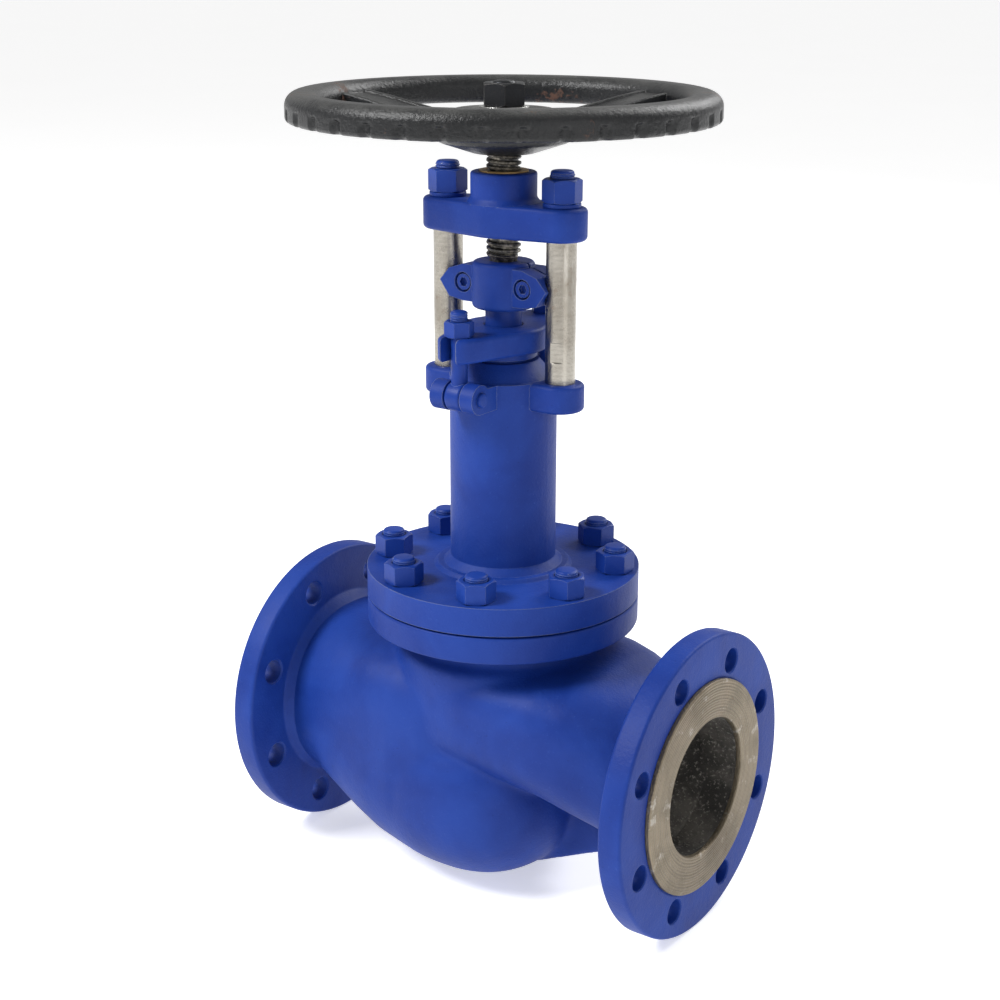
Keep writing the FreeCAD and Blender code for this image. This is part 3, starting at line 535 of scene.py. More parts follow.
def to_object(name: str, mesh: bmesh.types.BMesh, sharp_deg: float = 40.0) -> Any:
    """Turns a bmesh into a shown object with outward normals.

    Args:
        name: the piece's name.
        mesh: the bmesh, in millimetres from the flow axis. It is freed.
        sharp_deg: edges sharper than this stay sharp.
    Returns:
        The object, in metres in the frame.
    """
    bmesh.ops.remove_doubles(mesh, verts=mesh.verts, dist=1e-4)
    bmesh.ops.recalc_face_normals(mesh, faces=mesh.faces)
    mesh.transform(Matrix.Translation((0, 0, FLOW_Z)) @ Matrix.Scale(MM, 4))
    data = bpy.data.meshes.new(name)
    mesh.to_mesh(data)
    mesh.free()
    data.shade_smooth()
    data.set_sharp_from_angle(angle=math.radians(sharp_deg))
    piece = bpy.data.objects.new(name, data)
    bpy.context.scene.collection.objects.link(piece)
    return piece


def skin(mesh: bmesh.types.BMesh, rings: Sequence[Sequence[Vector]], closed: bool = False) -> None:
    """Joins rings of points into a tube, with its ends filled unless they meet.

    Args:
        mesh: the bmesh to add to.
        rings: rings with the same number of points.
        closed: whether the last ring joins the first.
    """
    made = [[mesh.verts.new(p) for p in ring] for ring in rings]
    pairs = list(zip(made, made[1:])) + ([(made[-1], made[0])] if closed else [])
    for low, high in pairs:
        for i in range(len(low)):
            j = (i + 1) % len(low)
            mesh.faces.new((low[i], low[j], high[j], high[i]))
    if not closed:
        mesh.faces.new(made[0])
        mesh.faces.new(made[-1])


def turned(name: str, profile: Sequence[Point], axis: Axis = Axis.STEM, segments: int = 128,
           centre: Point = (0.0, 0.0)) -> Any:
    """Turns a closed outline about an axis.

    Args:
        name: the piece's name.
        profile: (radius, along) points of a closed outline off the axis.
        axis: the stem or the flow axis.
        segments: faces round the turn.
        centre: where the axis crosses the other two directions.
    Returns:
        The piece.
    """
    mesh = bmesh.new()
    rings = []
    for radius, along in profile:
        ring = []
        for k in range(segments):
            angle = 2 * math.pi * k / segments
            u, v = max(radius, 0.01) * math.cos(angle), max(radius, 0.01) * math.sin(angle)
            if axis is Axis.STEM:
                ring.append(Vector((u + centre[0], v + centre[1], along)))
            else:
                ring.append(Vector((along, u + centre[0], v + centre[1])))
        rings.append(ring)
    skin(mesh, rings, closed=True)
    return to_object(name, mesh)


def cylinder(name: str, radius: float, low: float, high: float, axis: Axis = Axis.STEM,
             centre: Point = (0.0, 0.0)) -> Any:
    """A plain round bar, to add or to cut with.

    Args:
        name: the piece's name.
        radius: its radius.
        low: where it starts along the axis.
        high: where it ends.
        axis: the stem or the flow axis.
        centre: where the axis crosses the other two directions.
    Returns:
        The piece.
    """
    profile = [(0.0, low), (radius, low), (radius, high), (0.0, high)]
    return turned(name, profile, axis, centre=centre)


def plate(name: str, circles: Sequence[Corner], low: float, high: float, edge: float,
          samples: int = 144) -> Any:
    """A plate whose outline is drawn tight round a few circles, with rounded edges.

    Args:
        name: the piece's name.
        circles: (x, y, radius) of each circle.
        low: the height of its underside.
        high: the height of its top.
        edge: the radius of its edges.
        samples: points round the outline.
    Returns:
        The piece.
    """
    def outline(inset: float, height: float) -> list[Vector]:
        """Returns: the outline drawn in by an inset, at a height."""
        points = []
        for k in range(samples):
            way = Vector((math.cos(2 * math.pi * (k + 0.5) / samples),
                          math.sin(2 * math.pi * (k + 0.5) / samples)))
            x, y, r = max(circles, key=lambda c: c[0] * way.x + c[1] * way.y + c[2])
            points.append(Vector((x + (r - inset) * way.x, y + (r - inset) * way.y, height)))
        return points

    rings = []
    steps = 5
    for k in range(steps + 1):
        angle = math.pi / 2 * k / steps
        rings.append(outline(edge * (1 - math.sin(angle)), low + edge * (1 - math.cos(angle))))
    for k in range(steps + 1):
        angle = math.pi / 2 * k / steps
        rings.append(outline(edge * (1 - math.cos(angle)), high - edge * (1 - math.sin(angle))))
    mesh = bmesh.new()
    skin(mesh, rings)
    return to_object(name, mesh)


def baked(piece: Any) -> Any:
    """Returns: the piece, with its modifiers turned into plain mesh."""
    bpy.context.view_layer.update()
    shown = piece.evaluated_get(bpy.context.evaluated_depsgraph_get())
    data = bpy.data.meshes.new_from_object(shown)
    piece.modifiers.clear()
    old = piece.data
    piece.data = data
    bpy.data.meshes.remove(old)
    return piece


def combine(piece: Any, others: Iterable[Any], cut: Cut) -> Any:
    """Adds or takes away closed pieces, one after the other.

    Args:
        piece: the piece that stays.
        others: the pieces that are used up.
        cut: whether they are added or taken away.
    Returns:
        The first piece, changed.
    """
    for other in others:
        step = piece.modifiers.new("cut", "BOOLEAN")
        step.operation = cut.value
        step.solver = "EXACT"
        step.object = other
        baked(piece)
        bpy.data.objects.remove(other)
    piece.data.shade_smooth()
    piece.data.set_sharp_from_angle(angle=math.radians(CUT_SHARP_DEG))
    return piece


def blended(piece: Any, voxel: float, rounds: int) -> Any:
    """Melts overlapping closed parts into one casting with soft hollows.

    Args:
        piece: the overlapping parts as one object.
        voxel: the grid in millimetres.
        rounds: smoothing rounds.
    Returns:
        The piece.
    """
    grid = piece.modifiers.new("grid", "REMESH")
    grid.mode = "VOXEL"
    grid.voxel_size = voxel * MM
    soften = piece.modifiers.new("soften", "SMOOTH")
    soften.factor = 0.5
    soften.iterations = rounds
    baked(piece)
    piece.data.shade_smooth()
    return piece


def joined(name: str, pieces: Sequence[Any]) -> Any:
    """Returns: the pieces as one object of that name, without merging their shells."""
    mesh = bmesh.new()
    for piece in pieces:
        mesh.from_mesh(piece.data)
        bpy.data.objects.remove(piece)
    data = bpy.data.meshes.new(name)
    mesh.to_mesh(data)
    mesh.free()
    data.shade_smooth()
    data.set_sharp_from_angle(angle=math.radians(JOINED_SHARP_DEG))
    whole = bpy.data.objects.new(name, data)
    bpy.context.scene.collection.objects.link(whole)
    return whole


def hexagon(name: str, across_flats: float, hole: float, low: float, high: float,
            turn_deg: float = 0.0) -> Any:
    """A nut with cone-chamfered corners at both ends.

    Args:
        name: the piece's name.
        across_flats: its width.
        hole: the radius of its hole.
        low: the height of its underside.
        high: the height of its top.
        turn_deg: how far it is turned.
    Returns:
        The piece, on the stem axis.
    """
    samples = 72
    mesh = bmesh.new()
    rings: list[list[Vector]] = [[] for _ in range(8)]
    for k in range(samples):
        angle = 2 * math.pi * k / samples
        off = (math.degrees(angle) % 60.0) - 30.0
        flat = across_flats / 2 / math.cos(math.radians(off))
        face = across_flats / 2 * 0.985
        drop = (flat - face) * math.tan(math.radians(30.0))
        way = Vector((math.cos(angle + math.radians(turn_deg)),
                      math.sin(angle + math.radians(turn_deg))))
        mouth = min(1.0, (high - low) / 8)
        spots = [(hole, low + mouth), (hole + mouth, low), (face, low), (flat, low + drop),
                 (flat, high - drop), (face, high), (hole + mouth, high), (hole, high - mouth)]
        for ring, (radius, height) in zip(rings, spots):
            ring.append(Vector((way.x * radius, way.y * radius, height)))
    skin(mesh, rings, closed=True)
    return to_object(name, mesh, 25.0)


# ---- Geometry Nodes ----------------------------------------------------------------------------------
class Tree:
    """A Geometry Nodes tree with named inputs, ending in Realize Instances and Set Material."""

    def __init__(self, name: str, inputs: dict[str, tuple[str, Any]]) -> None:
        """Args:
            name: the tree's name.
            inputs: the socket type and default of each named input.
        """
        self.group = bpy.data.node_groups.new(name, "GeometryNodeTree")
        face = self.group.interface
        face.new_socket("Geometry", in_out="INPUT", socket_type="NodeSocketGeometry")
        for label, (kind, default) in inputs.items():
            face.new_socket(label, in_out="INPUT", socket_type=kind).default_value = default
        face.new_socket("Finish", in_out="INPUT", socket_type="NodeSocketMaterial")
        face.new_socket("Geometry", in_out="OUTPUT", socket_type="NodeSocketGeometry")
        self.start = self.group.nodes.new("NodeGroupInput")

    def node(self, kind: str, settings: dict[str, Any] | None = None,
             inputs: dict[Any, Any] | None = None) -> Any:
        """Adds a node.

        Args:
            kind: the node's type.
            settings: its settings.
            inputs: a value, or an output socket to link, for each input.
        Returns:
            The node.
        """
        node = self.group.nodes.new(kind)
        for key, value in (settings or {}).items():
            setattr(node, key, value)
        for key, value in (inputs or {}).items():
            if isinstance(value, bpy.types.NodeSocket):
                self.group.links.new(value, node.inputs[key])
            else:
                node.inputs[key].default_value = value
        return node

    def maths(self, operation: str, *values: Any) -> Any:
        """Adds a Math node. Args: operation, values in socket order. Returns: its output."""
        return self.node("ShaderNodeMath", {"operation": operation}, dict(enumerate(values))).outputs[0]

    def end(self, geometry: Any) -> None:
        """Ends the tree. Args: geometry: the output socket of what was made."""
        real = self.node("GeometryNodeRealizeInstances", None, {0: geometry})
        dress = self.node("GeometryNodeSetMaterial", None,
                          {"Geometry": real.outputs[0], "Material": self.start.outputs["Finish"]})
        out = self.group.nodes.new("NodeGroupOutput")
        self.group.links.new(dress.outputs[0], out.inputs[0])

    def run(self, piece: Any, values: dict[str, Any]) -> Any:
        """Runs the tree on a piece and keeps the plain mesh.

        Args:
            piece: the object that the tree starts from.
            values: a value for each named input.
        Returns:
            The piece, without the modifier.
        """
        step = piece.modifiers.new("pattern", "NODES")
        step.node_group = self.group
        named = {item.name: item.identifier for item in self.group.interface.items_tree
                 if item.in_out == "INPUT"}
        for label, value in values.items():
            step[named[label]] = value
        baked(piece)
        piece.data.shade_smooth()
        piece.data.set_sharp_from_angle(angle=math.radians(PATTERN_SHARP_DEG))
        return piece


class RingOfCopies(Tree):
    """Copies of one shape on a bolt circle round the stem, each with its own small turn."""

    def __init__(self) -> None:
        """Builds the tree."""
        super().__init__("ring_of_copies", {
            "Count": ("NodeSocketInt", 8), "Radius": ("NodeSocketFloat", 0.08),
            "Start": ("NodeSocketFloat", 0.0), "Spread": ("NodeSocketFloat", 0.0),
            "Follow": ("NodeSocketFloat", 0.0), "Seed": ("NodeSocketInt", 7)})
        ins = self.start.outputs
        index = self.node("GeometryNodeInputIndex")
        share = self.maths("DIVIDE", index.outputs[0], ins["Count"])
        whole = self.maths("ADD", self.maths("MULTIPLY", share, 2 * math.pi), ins["Start"])
        way = self.node("ShaderNodeCombineXYZ", None, {"X": self.maths("COSINE", whole),
                                                       "Y": self.maths("SINE", whole)})
        spot = self.node("ShaderNodeVectorMath", {"operation": "SCALE"},
                         {0: way.outputs[0], "Scale": ins["Radius"]})
        points = self.node("GeometryNodePoints", None,
                           {"Count": ins["Count"], "Position": spot.outputs[0]})
        follow = self.maths("MULTIPLY", whole, ins["Follow"])
        luck = self.node("FunctionNodeRandomValue", None,
                         {"Min": 0.0, "Max": 1.0, "Seed": ins["Seed"]})
        wobble = self.maths("MULTIPLY_ADD", luck.outputs[1], ins["Spread"], follow)
        turn = self.node("ShaderNodeCombineXYZ", None, {"Z": wobble})
        copies = self.node("GeometryNodeInstanceOnPoints", None,
                           {"Points": points.outputs[0], "Instance": ins["Geometry"],
                            "Rotation": turn.outputs[0]})
        self.end(copies.outputs[0])


class ThreadRidge(Tree):
    """A helical thread ridge wound round the stem axis, joined to the rod it is cut on."""

    def __init__(self) -> None:
        """Builds the tree."""
        super().__init__("thread_ridge", {
            "Turns": ("NodeSocketFloat", 4.0), "Radius": ("NodeSocketFloat", 0.007),
            "Length": ("NodeSocketFloat", 0.01), "Low": ("NodeSocketFloat", 0.0),
            "Thickness": ("NodeSocketFloat", 0.0008)})
        ins = self.start.outputs
        helix = self.node("GeometryNodeCurveSpiral", None,
                          {"Resolution": 40, "Rotations": ins["Turns"], "Start Radius": ins["Radius"],
                           "End Radius": ins["Radius"], "Height": ins["Length"]})
        lift = self.node("ShaderNodeCombineXYZ", None, {"Z": ins["Low"]})
        placed = self.node("GeometryNodeTransform", None,
                           {"Geometry": helix.outputs[0], "Translation": lift.outputs[0]})
        wire = self.node("GeometryNodeCurvePrimitiveCircle", None,
                         {"Resolution": 6, "Radius": ins["Thickness"]})
        ridge = self.node("GeometryNodeCurveToMesh", None,
                          {"Curve": placed.outputs[0], "Profile Curve": wire.outputs[0],
                           "Fill Caps": True})
        both = self.node("GeometryNodeJoinGeometry")
        self.group.links.new(ins["Geometry"], both.inputs[0])
        self.group.links.new(ridge.outputs[0], both.inputs[0])
        self.end(both.outputs[0])

    def wind(self, bar: Any, turns: float, radius: float, low: float, length: float,
             thickness: float, finish: Any) -> None:
        """Winds the ridge on a bar.

        Args:
            bar: a bar on the stem axis.
            turns: how many turns it makes.
            radius: the radius of its middle line, in millimetres.
            low: the height where it starts, in millimetres.
            length: how far it runs, in metres.
            thickness: half its thickness, in metres.
            finish: its material.
        """
        self.run(bar, {"Turns": turns, "Radius": radius * MM, "Length": length,
                       "Low": FLOW_Z + low * MM, "Thickness": thickness, "Finish": finish})


# ---- Sub-assemblies ----------------------------------------------------------------------------------
@dataclass
class Assembly:
    """Base of each sub-assembly: it knows the finishes, puts finished pieces on their bodies and dresses
    the CAD nodes it keeps.
    """

    paints: Paints

    def show(self, piece: Any, body: str, node: str, finish: Any | None = None,
             stands_for: Sequence[str] = ()) -> Any:
        """Dresses a piece, puts it on its body and hides the nodes it stands for.

        Args:
            piece: the finished mesh object.
            body: the body that it rides on.
            node: not used.
            finish: its material, or None if it has one.
            stands_for: the CAD nodes that it replaces.
        Returns:
            The piece.
        """
        if finish is not None:
            piece.data.materials.clear()
            piece.data.materials.append(finish)
        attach(piece, body)
        if stands_for:
            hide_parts(*stands_for)
        log.info("%s: %d faces on %s", piece.name, len(piece.data.polygons), body)
        return piece

    def keep(self, node: str, finish: Any) -> None:
        """Keeps a CAD node as it is and gives it a finish.

        Args:
            node: the node's name.
            finish: its material.
        """
        for slot in frame["nodes"][node].material_slots:
            slot.material = finish
        log.info("%s: kept", node)


@dataclass
class FlangeEnd:
    """One pipe flange: drilled plate, machined raised face and the root ring at its neck."""

    side: int
    word: str
    half_length: float = 175.0
    radius: float = 110.0
    thickness: float = 21.3
    face_radius: float = 78.0
    face_height: float = 3.0
    bore: float = 50.0
    neck: float = 62.5
    bolt_circle: float = 90.0
    bolt_hole: float = 9.0
    bolts: int = 8

    def parts(self, painted: Any, bare: Any) -> tuple[Any, Any]:
        """Builds the flange.

        Args:
            painted: the finish of its outside.
            bare: the finish of its bore.
        Returns:
            The drilled plate, dressed, and the raised face.
        """
        out, plane = self.half_length, self.half_length - self.face_height
        back = self.half_length - self.thickness
        corners = [(self.bore + 0.02, plane - 0.6, 0), (self.face_radius, plane - 0.6, 0),
                   (self.face_radius + 0.8, plane, 0.5), (self.radius, plane, 2.2),
                   (self.radius, back, 2.6), (self.neck + 3.5, back, 2.5),
                   (self.neck + 1.2, back - 4.0, 2.5), (self.neck - 3.0, back - 12.0, 2.0),
                   (self.bore + 0.02, back - 12.0, 0)]
        outline = [(r, self.side * x) for r, x in rounded(corners)]
        plate_piece = turned(f"{self.word}_flange_plate", outline, Axis.FLOW, 192)
        ring = [(self.bore, plane - 1.0, 0), (self.face_radius - 0.4, plane - 1.0, 0),
                (self.face_radius - 0.4, out, 0.9), (self.bore, out, 1.2)]
        outline = [(r, self.side * x) for r, x in rounded(ring, 3)]
        face = turned(f"{self.word}_raised_face", outline, Axis.FLOW, 192)
        drills = []
        for k in range(self.bolts):
            angle = math.pi * (2 * k + 1) / self.bolts
            centre = (self.bolt_circle * math.cos(angle), self.bolt_circle * math.sin(angle))
            r, far, near = self.bolt_hole, plane + 2.0, back - 2.0
            drill = [(0.0, near), (r + 1.2, near), (r + 1.2, back - 0.2), (r, back + 1.0),
                     (r, plane - 0.8), (r + 0.8, plane), (r + 0.8, far), (0.0, far)]
            outline = [(d, self.side * x) for d, x in drill]
            drills.append(turned(f"drill_{k}", outline, Axis.FLOW, 40, centre))
        combine(plate_piece, drills, Cut.TAKE)
        plate_piece.data.materials.append(painted)
        plate_piece.data.materials.append(bare)
        inside = (self.bore + 0.5) * MM
        for polygon in plate_piece.data.polygons:
            x, y, z = polygon.center
            polygon.material_index = int(math.hypot(y, z - FLOW_Z) < inside)
        return plate_piece, face


@dataclass
class BodyCasting(Assembly):
    """The casting: bowl, swept necks, upper chamber, rib, bonnet seat flange and end flanges.

    The roof and the floor are the radius, low and high of the bars that end the two flow ways at
    the seat. The inlet and outlet are the ovals that swept takes.
    """

    bowl_centre: Corner = (-15.0, 0.0, -36.5)
    bowl_size: Corner = (82.0, 84.0, 72.5)
    bowl_power: float = 2.4
    square_top: float = 2.4
    square_low: float = 0.4
    chamber_radius: float = 75.0
    chamber_bore: float = 66.0
    flange_radius: float = 99.0
    flange_low: float = 89.5
    flange_high: float = 110.0
    seat_bore: float = 50.0
    seat_low: float = 2.0
    seat_high: float = 12.0
    seat_pocket: float = 57.08
    port_bore: float = 49.98
    inlet_wall: float = 10.5
    bowl_wall: float = 11.0
    outlet_wall: float = 10.0
    way_radius: float = 26.5
    way_limit: float = 61.0
    roof: tuple[float, ...] = (96.0, -3.0, 80.0)
    floor: tuple[float, ...] = (78.3, -90.0, 12.4)
    round_from: float = 150.0
    round_over: float = 90.0
    melt_grid: float = 2.4
    melt_rounds: int = 9
    neck_rings: tuple[float, ...] = (70.5, 62.5)
    rib: tuple[Point, ...] = ((20.0, -104.0), (42.0, -98.0), (88.0, -77.0), (154.0, -52.0),
                              (154.0, 0.0), (20.0, 0.0))
    inlet: tuple[tuple[float, ...], ...] = (
        (-158, 0, 68, 68, 68), (-147, -1, 70, 69, 69.5), (-132, -4, 72.5, 71, 73),
        (-114, -9, 75.5, 75, 77), (-94, -15, 78.5, 79, 82), (-72, -21, 81, 81.5, 88.5),
        (-46, -26, 82.5, 82, 94), (-20, -29, 80, 79.5, 96), (0, -30, 73, 74, 92),
        (16, -30, 58, 64, 82))
    outlet: tuple[tuple[float, ...], ...] = (
        (158, 0, 61, 60, 60), (146, 3, 61.5, 58.5, 58.5), (132, 7, 64, 57.5, 57),
        (114, 12.5, 68.5, 56, 56), (96, 18, 73.5, 54, 54), (74, 23, 77.5, 50, 50.5),
        (46, 26, 79.5, 46, 48), (15, 27, 80, 45, 46), (-15, 27, 76, 45, 45),
        (-34, 27, 66, 43, 43), (-50, 27, 48, 38, 38))

    def swept(self, name: str, stations: Sequence[Sequence[float]], grow: float = 0.0) -> Any:
        """A swept neck.

        Args:
            name: the piece's name.
            stations: (along, height, half width, reach down, reach up) of its ovals.
            grow: added to every half size.
        Returns:
            The closed piece.
        """
        rings = []
        for x, z, wide, down, up in stations:
            fade = min(1.0, max(0.0, (self.round_from - abs(x)) / self.round_over))
            ring = []
            for k in range(OVAL_POINTS):
                c = math.cos(2 * math.pi * k / OVAL_POINTS)
                d = math.sin(2 * math.pi * k / OVAL_POINTS)
                square, tall = (self.square_top, up) if d > 0 else (self.square_low, down)
                boxy = 2.0 / (2.0 + square * fade)
                across = math.copysign(abs(c) ** boxy, c) * (wide + grow)
                rise = math.copysign(abs(d) ** boxy, d) * (tall + grow)
                ring.append(Vector((x, across, z + rise)))
            rings.append(ring)
        mesh = bmesh.new()
        skin(mesh, rings)
        return to_object(name, mesh)

    def bowl(self, name: str, shrink: float) -> Any:
        """The bowl, fuller than an ellipsoid.

        Args:
            name: the piece's name.
            shrink: taken off every half size.
        Returns:
            The closed piece.
        """
        mesh = bmesh.new()
        bmesh.ops.create_icosphere(mesh, subdivisions=5, radius=1.0)
        for vert in mesh.verts:
            way = vert.co.normalized()
            total = sum(abs(c) ** self.bowl_power for c in way)
            way = way * total ** (-1.0 / self.bowl_power)
            vert.co = Vector([c + w * (s - shrink)
                              for c, w, s in zip(self.bowl_centre, way, self.bowl_size)])
        return to_object(name, mesh)

    def shell(self) -> Any:
        """Returns: the outside of the casting between its flanges, as one soft form."""
        r = self.chamber_radius
        corners = [(10.0, -10.0, 0), (r - 14.0, -10.0, 8.0), (r - 4.0, 16.0, 12.0),
                   (r + 1.0, 36.0, 20.0), (r + 3.5, 72.0, 6.0), (r - 4.5, 76.0, 3.0),
                   (r - 4.5, 92.0, 0), (10.0, 92.0, 0)]
        collar = turned("collar", rounded(corners))
        mesh = bmesh.new()
        skin(mesh, [[Vector((x, y, z)) for x, z in self.rib] for y in (-6.0, 6.0)])
        rib = to_object("rib", mesh)
        core = cylinder("core", 12.0, -9.0, 91.0)
        parts = [self.bowl("bowl", 0.0), self.swept("inlet_neck", self.inlet),
                 self.swept("outlet_neck", self.outlet), collar, core, rib]
        first = combine(parts[0], parts[1:], Cut.ADD)
        return blended(first, self.melt_grid, self.melt_rounds)

    def passages(self) -> list[Any]:
        """Returns: closed cutters for the bores, the bowl's inside, the seat and the chamber."""
        half, most = self.way_radius, self.way_limit
        lower = self.swept("lower_way", [(x, z, half + w / 2, half + down / 2, half + down / 2)
                                         for x, z, w, down, up in self.inlet], -self.inlet_wall)
        combine(lower, [self.bowl("inside", self.bowl_wall)], Cut.ADD)
        combine(lower, [cylinder("roof", *self.roof)], Cut.TAKE)
        upper = self.swept("upper_way", [(x, z, min(w, most), min(down, most), min(up, most) - 1.0)
                                         for x, z, w, down, up in self.outlet], -self.outlet_wall)
        combine(upper, [cylinder("floor", *self.floor)], Cut.TAKE)
        bore, pocket = self.chamber_bore, self.seat_pocket
        chamber = turned("chamber", [(0.0, -10.0), (self.seat_bore, -10.0),
                                     (self.seat_bore, self.seat_low), (pocket, self.seat_low),
                                     (pocket, self.seat_high), (bore, self.seat_high),
                                     (bore, 95.0), (0.0, 95.0)])
        ports = [cylinder(f"port_{s}", self.port_bore, s * 148.0, s * 172.0, Axis.FLOW)
                 for s in (-1, 1)]
        return [chamber, *ports, lower, upper]

    def build(self) -> None:
        """Builds and dresses the body."""
        shell = self.shell()
        shell.name = "body_shell"
        cutters = self.passages()
        for piece in (shell, *cutters):
            piece.data.materials.clear()
            piece.data.materials.append(self.paints.casting)
            piece.data.materials.append(self.paints.bore)
        for cutter in cutters:
            for face in cutter.data.polygons:
                face.material_index = 1
        combine(shell, cutters, Cut.TAKE)
        self.show(shell, "valve_body", "body_casting", None, ["body_casting"])
        low, high, r = self.flange_low, self.flange_high, self.flange_radius
        corners = [(self.chamber_bore, low, 0), (r - 6.0, low, 1.0), (r, low + 1.5, 2.0), (r, high, 1.6),
                   (self.chamber_bore, high, 0)]
        seat_flange = turned("body_top_flange", rounded(corners), segments=192)
        self.show(seat_flange, "valve_body", "body_casting", self.paints.casting)
        for side, word, neck in zip((-1, 1), ("inlet", "outlet"), self.neck_rings):
            flange = FlangeEnd(side, word, neck=neck)
            plate_piece, face = flange.parts(self.paints.casting, self.paints.bore)
            self.show(plate_piece, "valve_body", "body_casting")
            self.show(face, "valve_body", "body_casting", self.paints.face)
        self.keep("seat_ring", self.paints.hard)
        self.keep("bonnet_gasket", self.paints.graphite)


@dataclass
class BonnetJoint(Assembly):
    """The bonnet flange with its studs and nuts."""

    ring: RingOfCopies
    ridge: ThreadRidge
    bolt_circle: float = 82.5
    studs: int = 8
    stud_radius: float = 8.0
    joint: float = 110.0
    nut_low: float = 131.6
    nut_high: float = 146.4
    stud_top: float = 150.4

    def ringed(self, piece: Any, spread: float) -> Any:
        """Returns: the piece copied round the bolt circle, each turned by up to spread radians."""
        values = {"Count": self.studs, "Radius": self.bolt_circle * MM, "Start": math.pi / self.studs,
                  "Spread": spread, "Follow": 0.0, "Seed": 11, "Finish": self.paints.smooth}
        return self.ring.run(piece, values)

    def build(self) -> None:
        """Builds the studs and nuts, and dresses the bonnet."""
        self.keep("bonnet", self.paints.casting)
        r, top = self.stud_radius - 0.35, self.stud_top
        rod = turned("bonnet_stud_set", rounded([(0.0, self.joint - 12.0, 0), (r, self.joint - 12.0, 0),
                                                 (r, top, 1.6), (0.0, top, 0)]), segments=32)
        self.ridge.wind(rod, 3.2, r - 0.35, top - 6.0, 0.0048, 0.0007, self.paints.smooth)
        self.show(self.ringed(rod, 3.0), "valve_body", "bonnet_studs", self.paints.smooth,
                  ["bonnet_studs"])
        nut = hexagon("bonnet_nut_set", LARGE_NUT_FLATS, LARGE_NUT_HOLE, self.nut_low,
                      self.nut_high)
        self.show(self.ringed(nut, 0.9), "valve_body", "bonnet_nuts", self.paints.smooth,
                  ["bonnet_nuts"])


@dataclass
class Yoke(Assembly):
    """Two polished pillars and the bridge with its bush."""

    ring: RingOfCopies
    ridge: ThreadRidge
    reach: float = 48.0
    low: float = 371.0
    high: float = 393.5
    boss_radius: float = 23.0
    boss_top: float = 414.0
    bore: float = 17.05
    spindle_way: float = 12.7
    pillar_hole: float = 8.5
    pillar_end: float = 8.05
    nut_height: float = 16.0
    washer: float = 3.0
    proud: float = 5.5

    def bridge(self) -> Any:
        """Returns: the bridge with its boss blended in."""
        beam = plate("yoke_bridge_casting", [(-self.reach, 0, 17.5), (0, 0, 26.0), (self.reach, 0, 17.5)],
                     self.low, self.high, 3.2)
        r, top = self.boss_radius, self.boss_top
        boss = turned("boss", rounded([(2.0, self.low + 2, 0), (r + 2.9, self.low + 2, 0),
                                       (r + 2.9, self.high - 0.5, 0), (r, self.high + 3.0, 3.0),
                                       (r, top, 1.8), (2.0, top, 0)]))
        core = cylinder("core", 3.0, self.low + 2, top)
        combine(beam, [boss, core], Cut.ADD)
        bore = turned("bore", [(0.0, self.low - 2), (self.spindle_way, self.low - 2),
                               (self.spindle_way, self.low + 2), (self.bore, self.low + 2),
                               (self.bore, top + 2), (0.0, top + 2)])
        holes = [cylinder(f"hole_{s}", self.pillar_hole, self.low - 2, self.high + 2,
                          centre=(s * self.reach, 0.0)) for s in (-1, 1)]
        return combine(beam, [bore, *holes], Cut.TAKE)

    def paired(self, piece: Any, spread: float) -> Any:
        """Returns: the piece copied to both pillars."""
        values = {"Count": 2, "Radius": self.reach * MM, "Start": 0.0, "Spread": spread, "Follow": 0.0,
                  "Seed": 3, "Finish": self.paints.smooth}
        return self.ring.run(piece, values)

    def build(self) -> None:
        """Builds the bridge, its nuts and washers, and dresses the pillars."""
        self.show(self.bridge(), "valve_body", "yoke_bridge", self.paints.casting, ["yoke_bridge"])
        base = self.high + self.washer
        washer = turned("pillar_washer_set", rounded([(8.6, self.high, 0), (13.0, self.high, 0.6),
                                                      (13.0, base, 0.8), (8.6, base, 0)]), segments=64)
        self.show(self.paired(washer, 0.0), "valve_body", "pillar_washers", self.paints.smooth,
                  ["pillar_washers"])
        nut = hexagon("pillar_nut_set", LARGE_NUT_FLATS, LARGE_NUT_HOLE, base,
                      base + self.nut_height)
        self.show(self.paired(nut, 0.8), "valve_body", "pillar_nuts", self.paints.smooth,
                  ["pillar_nuts"])
        end = base + self.nut_height + self.proud + 0.1
        r = self.pillar_end
        cap = turned("pillar_end_set", rounded([(0.0, base + 8.0, 0), (r, base + 8.0, 0), (r, end, 2.0),
                                                (0.0, end, 0)]), segments=40)
        self.ridge.wind(cap, 2.6, r, end - 7.5, 0.0052, 0.0006, self.paints.smooth)
        self.show(self.paired(cap, 2.0), "valve_body", "pillar_nuts", self.paints.smooth)
        for side in ("left", "right"):
            self.keep(f"pillar_{side}", self.paints.pillar)
        self.keep("yoke_bush", self.paints.bronze)


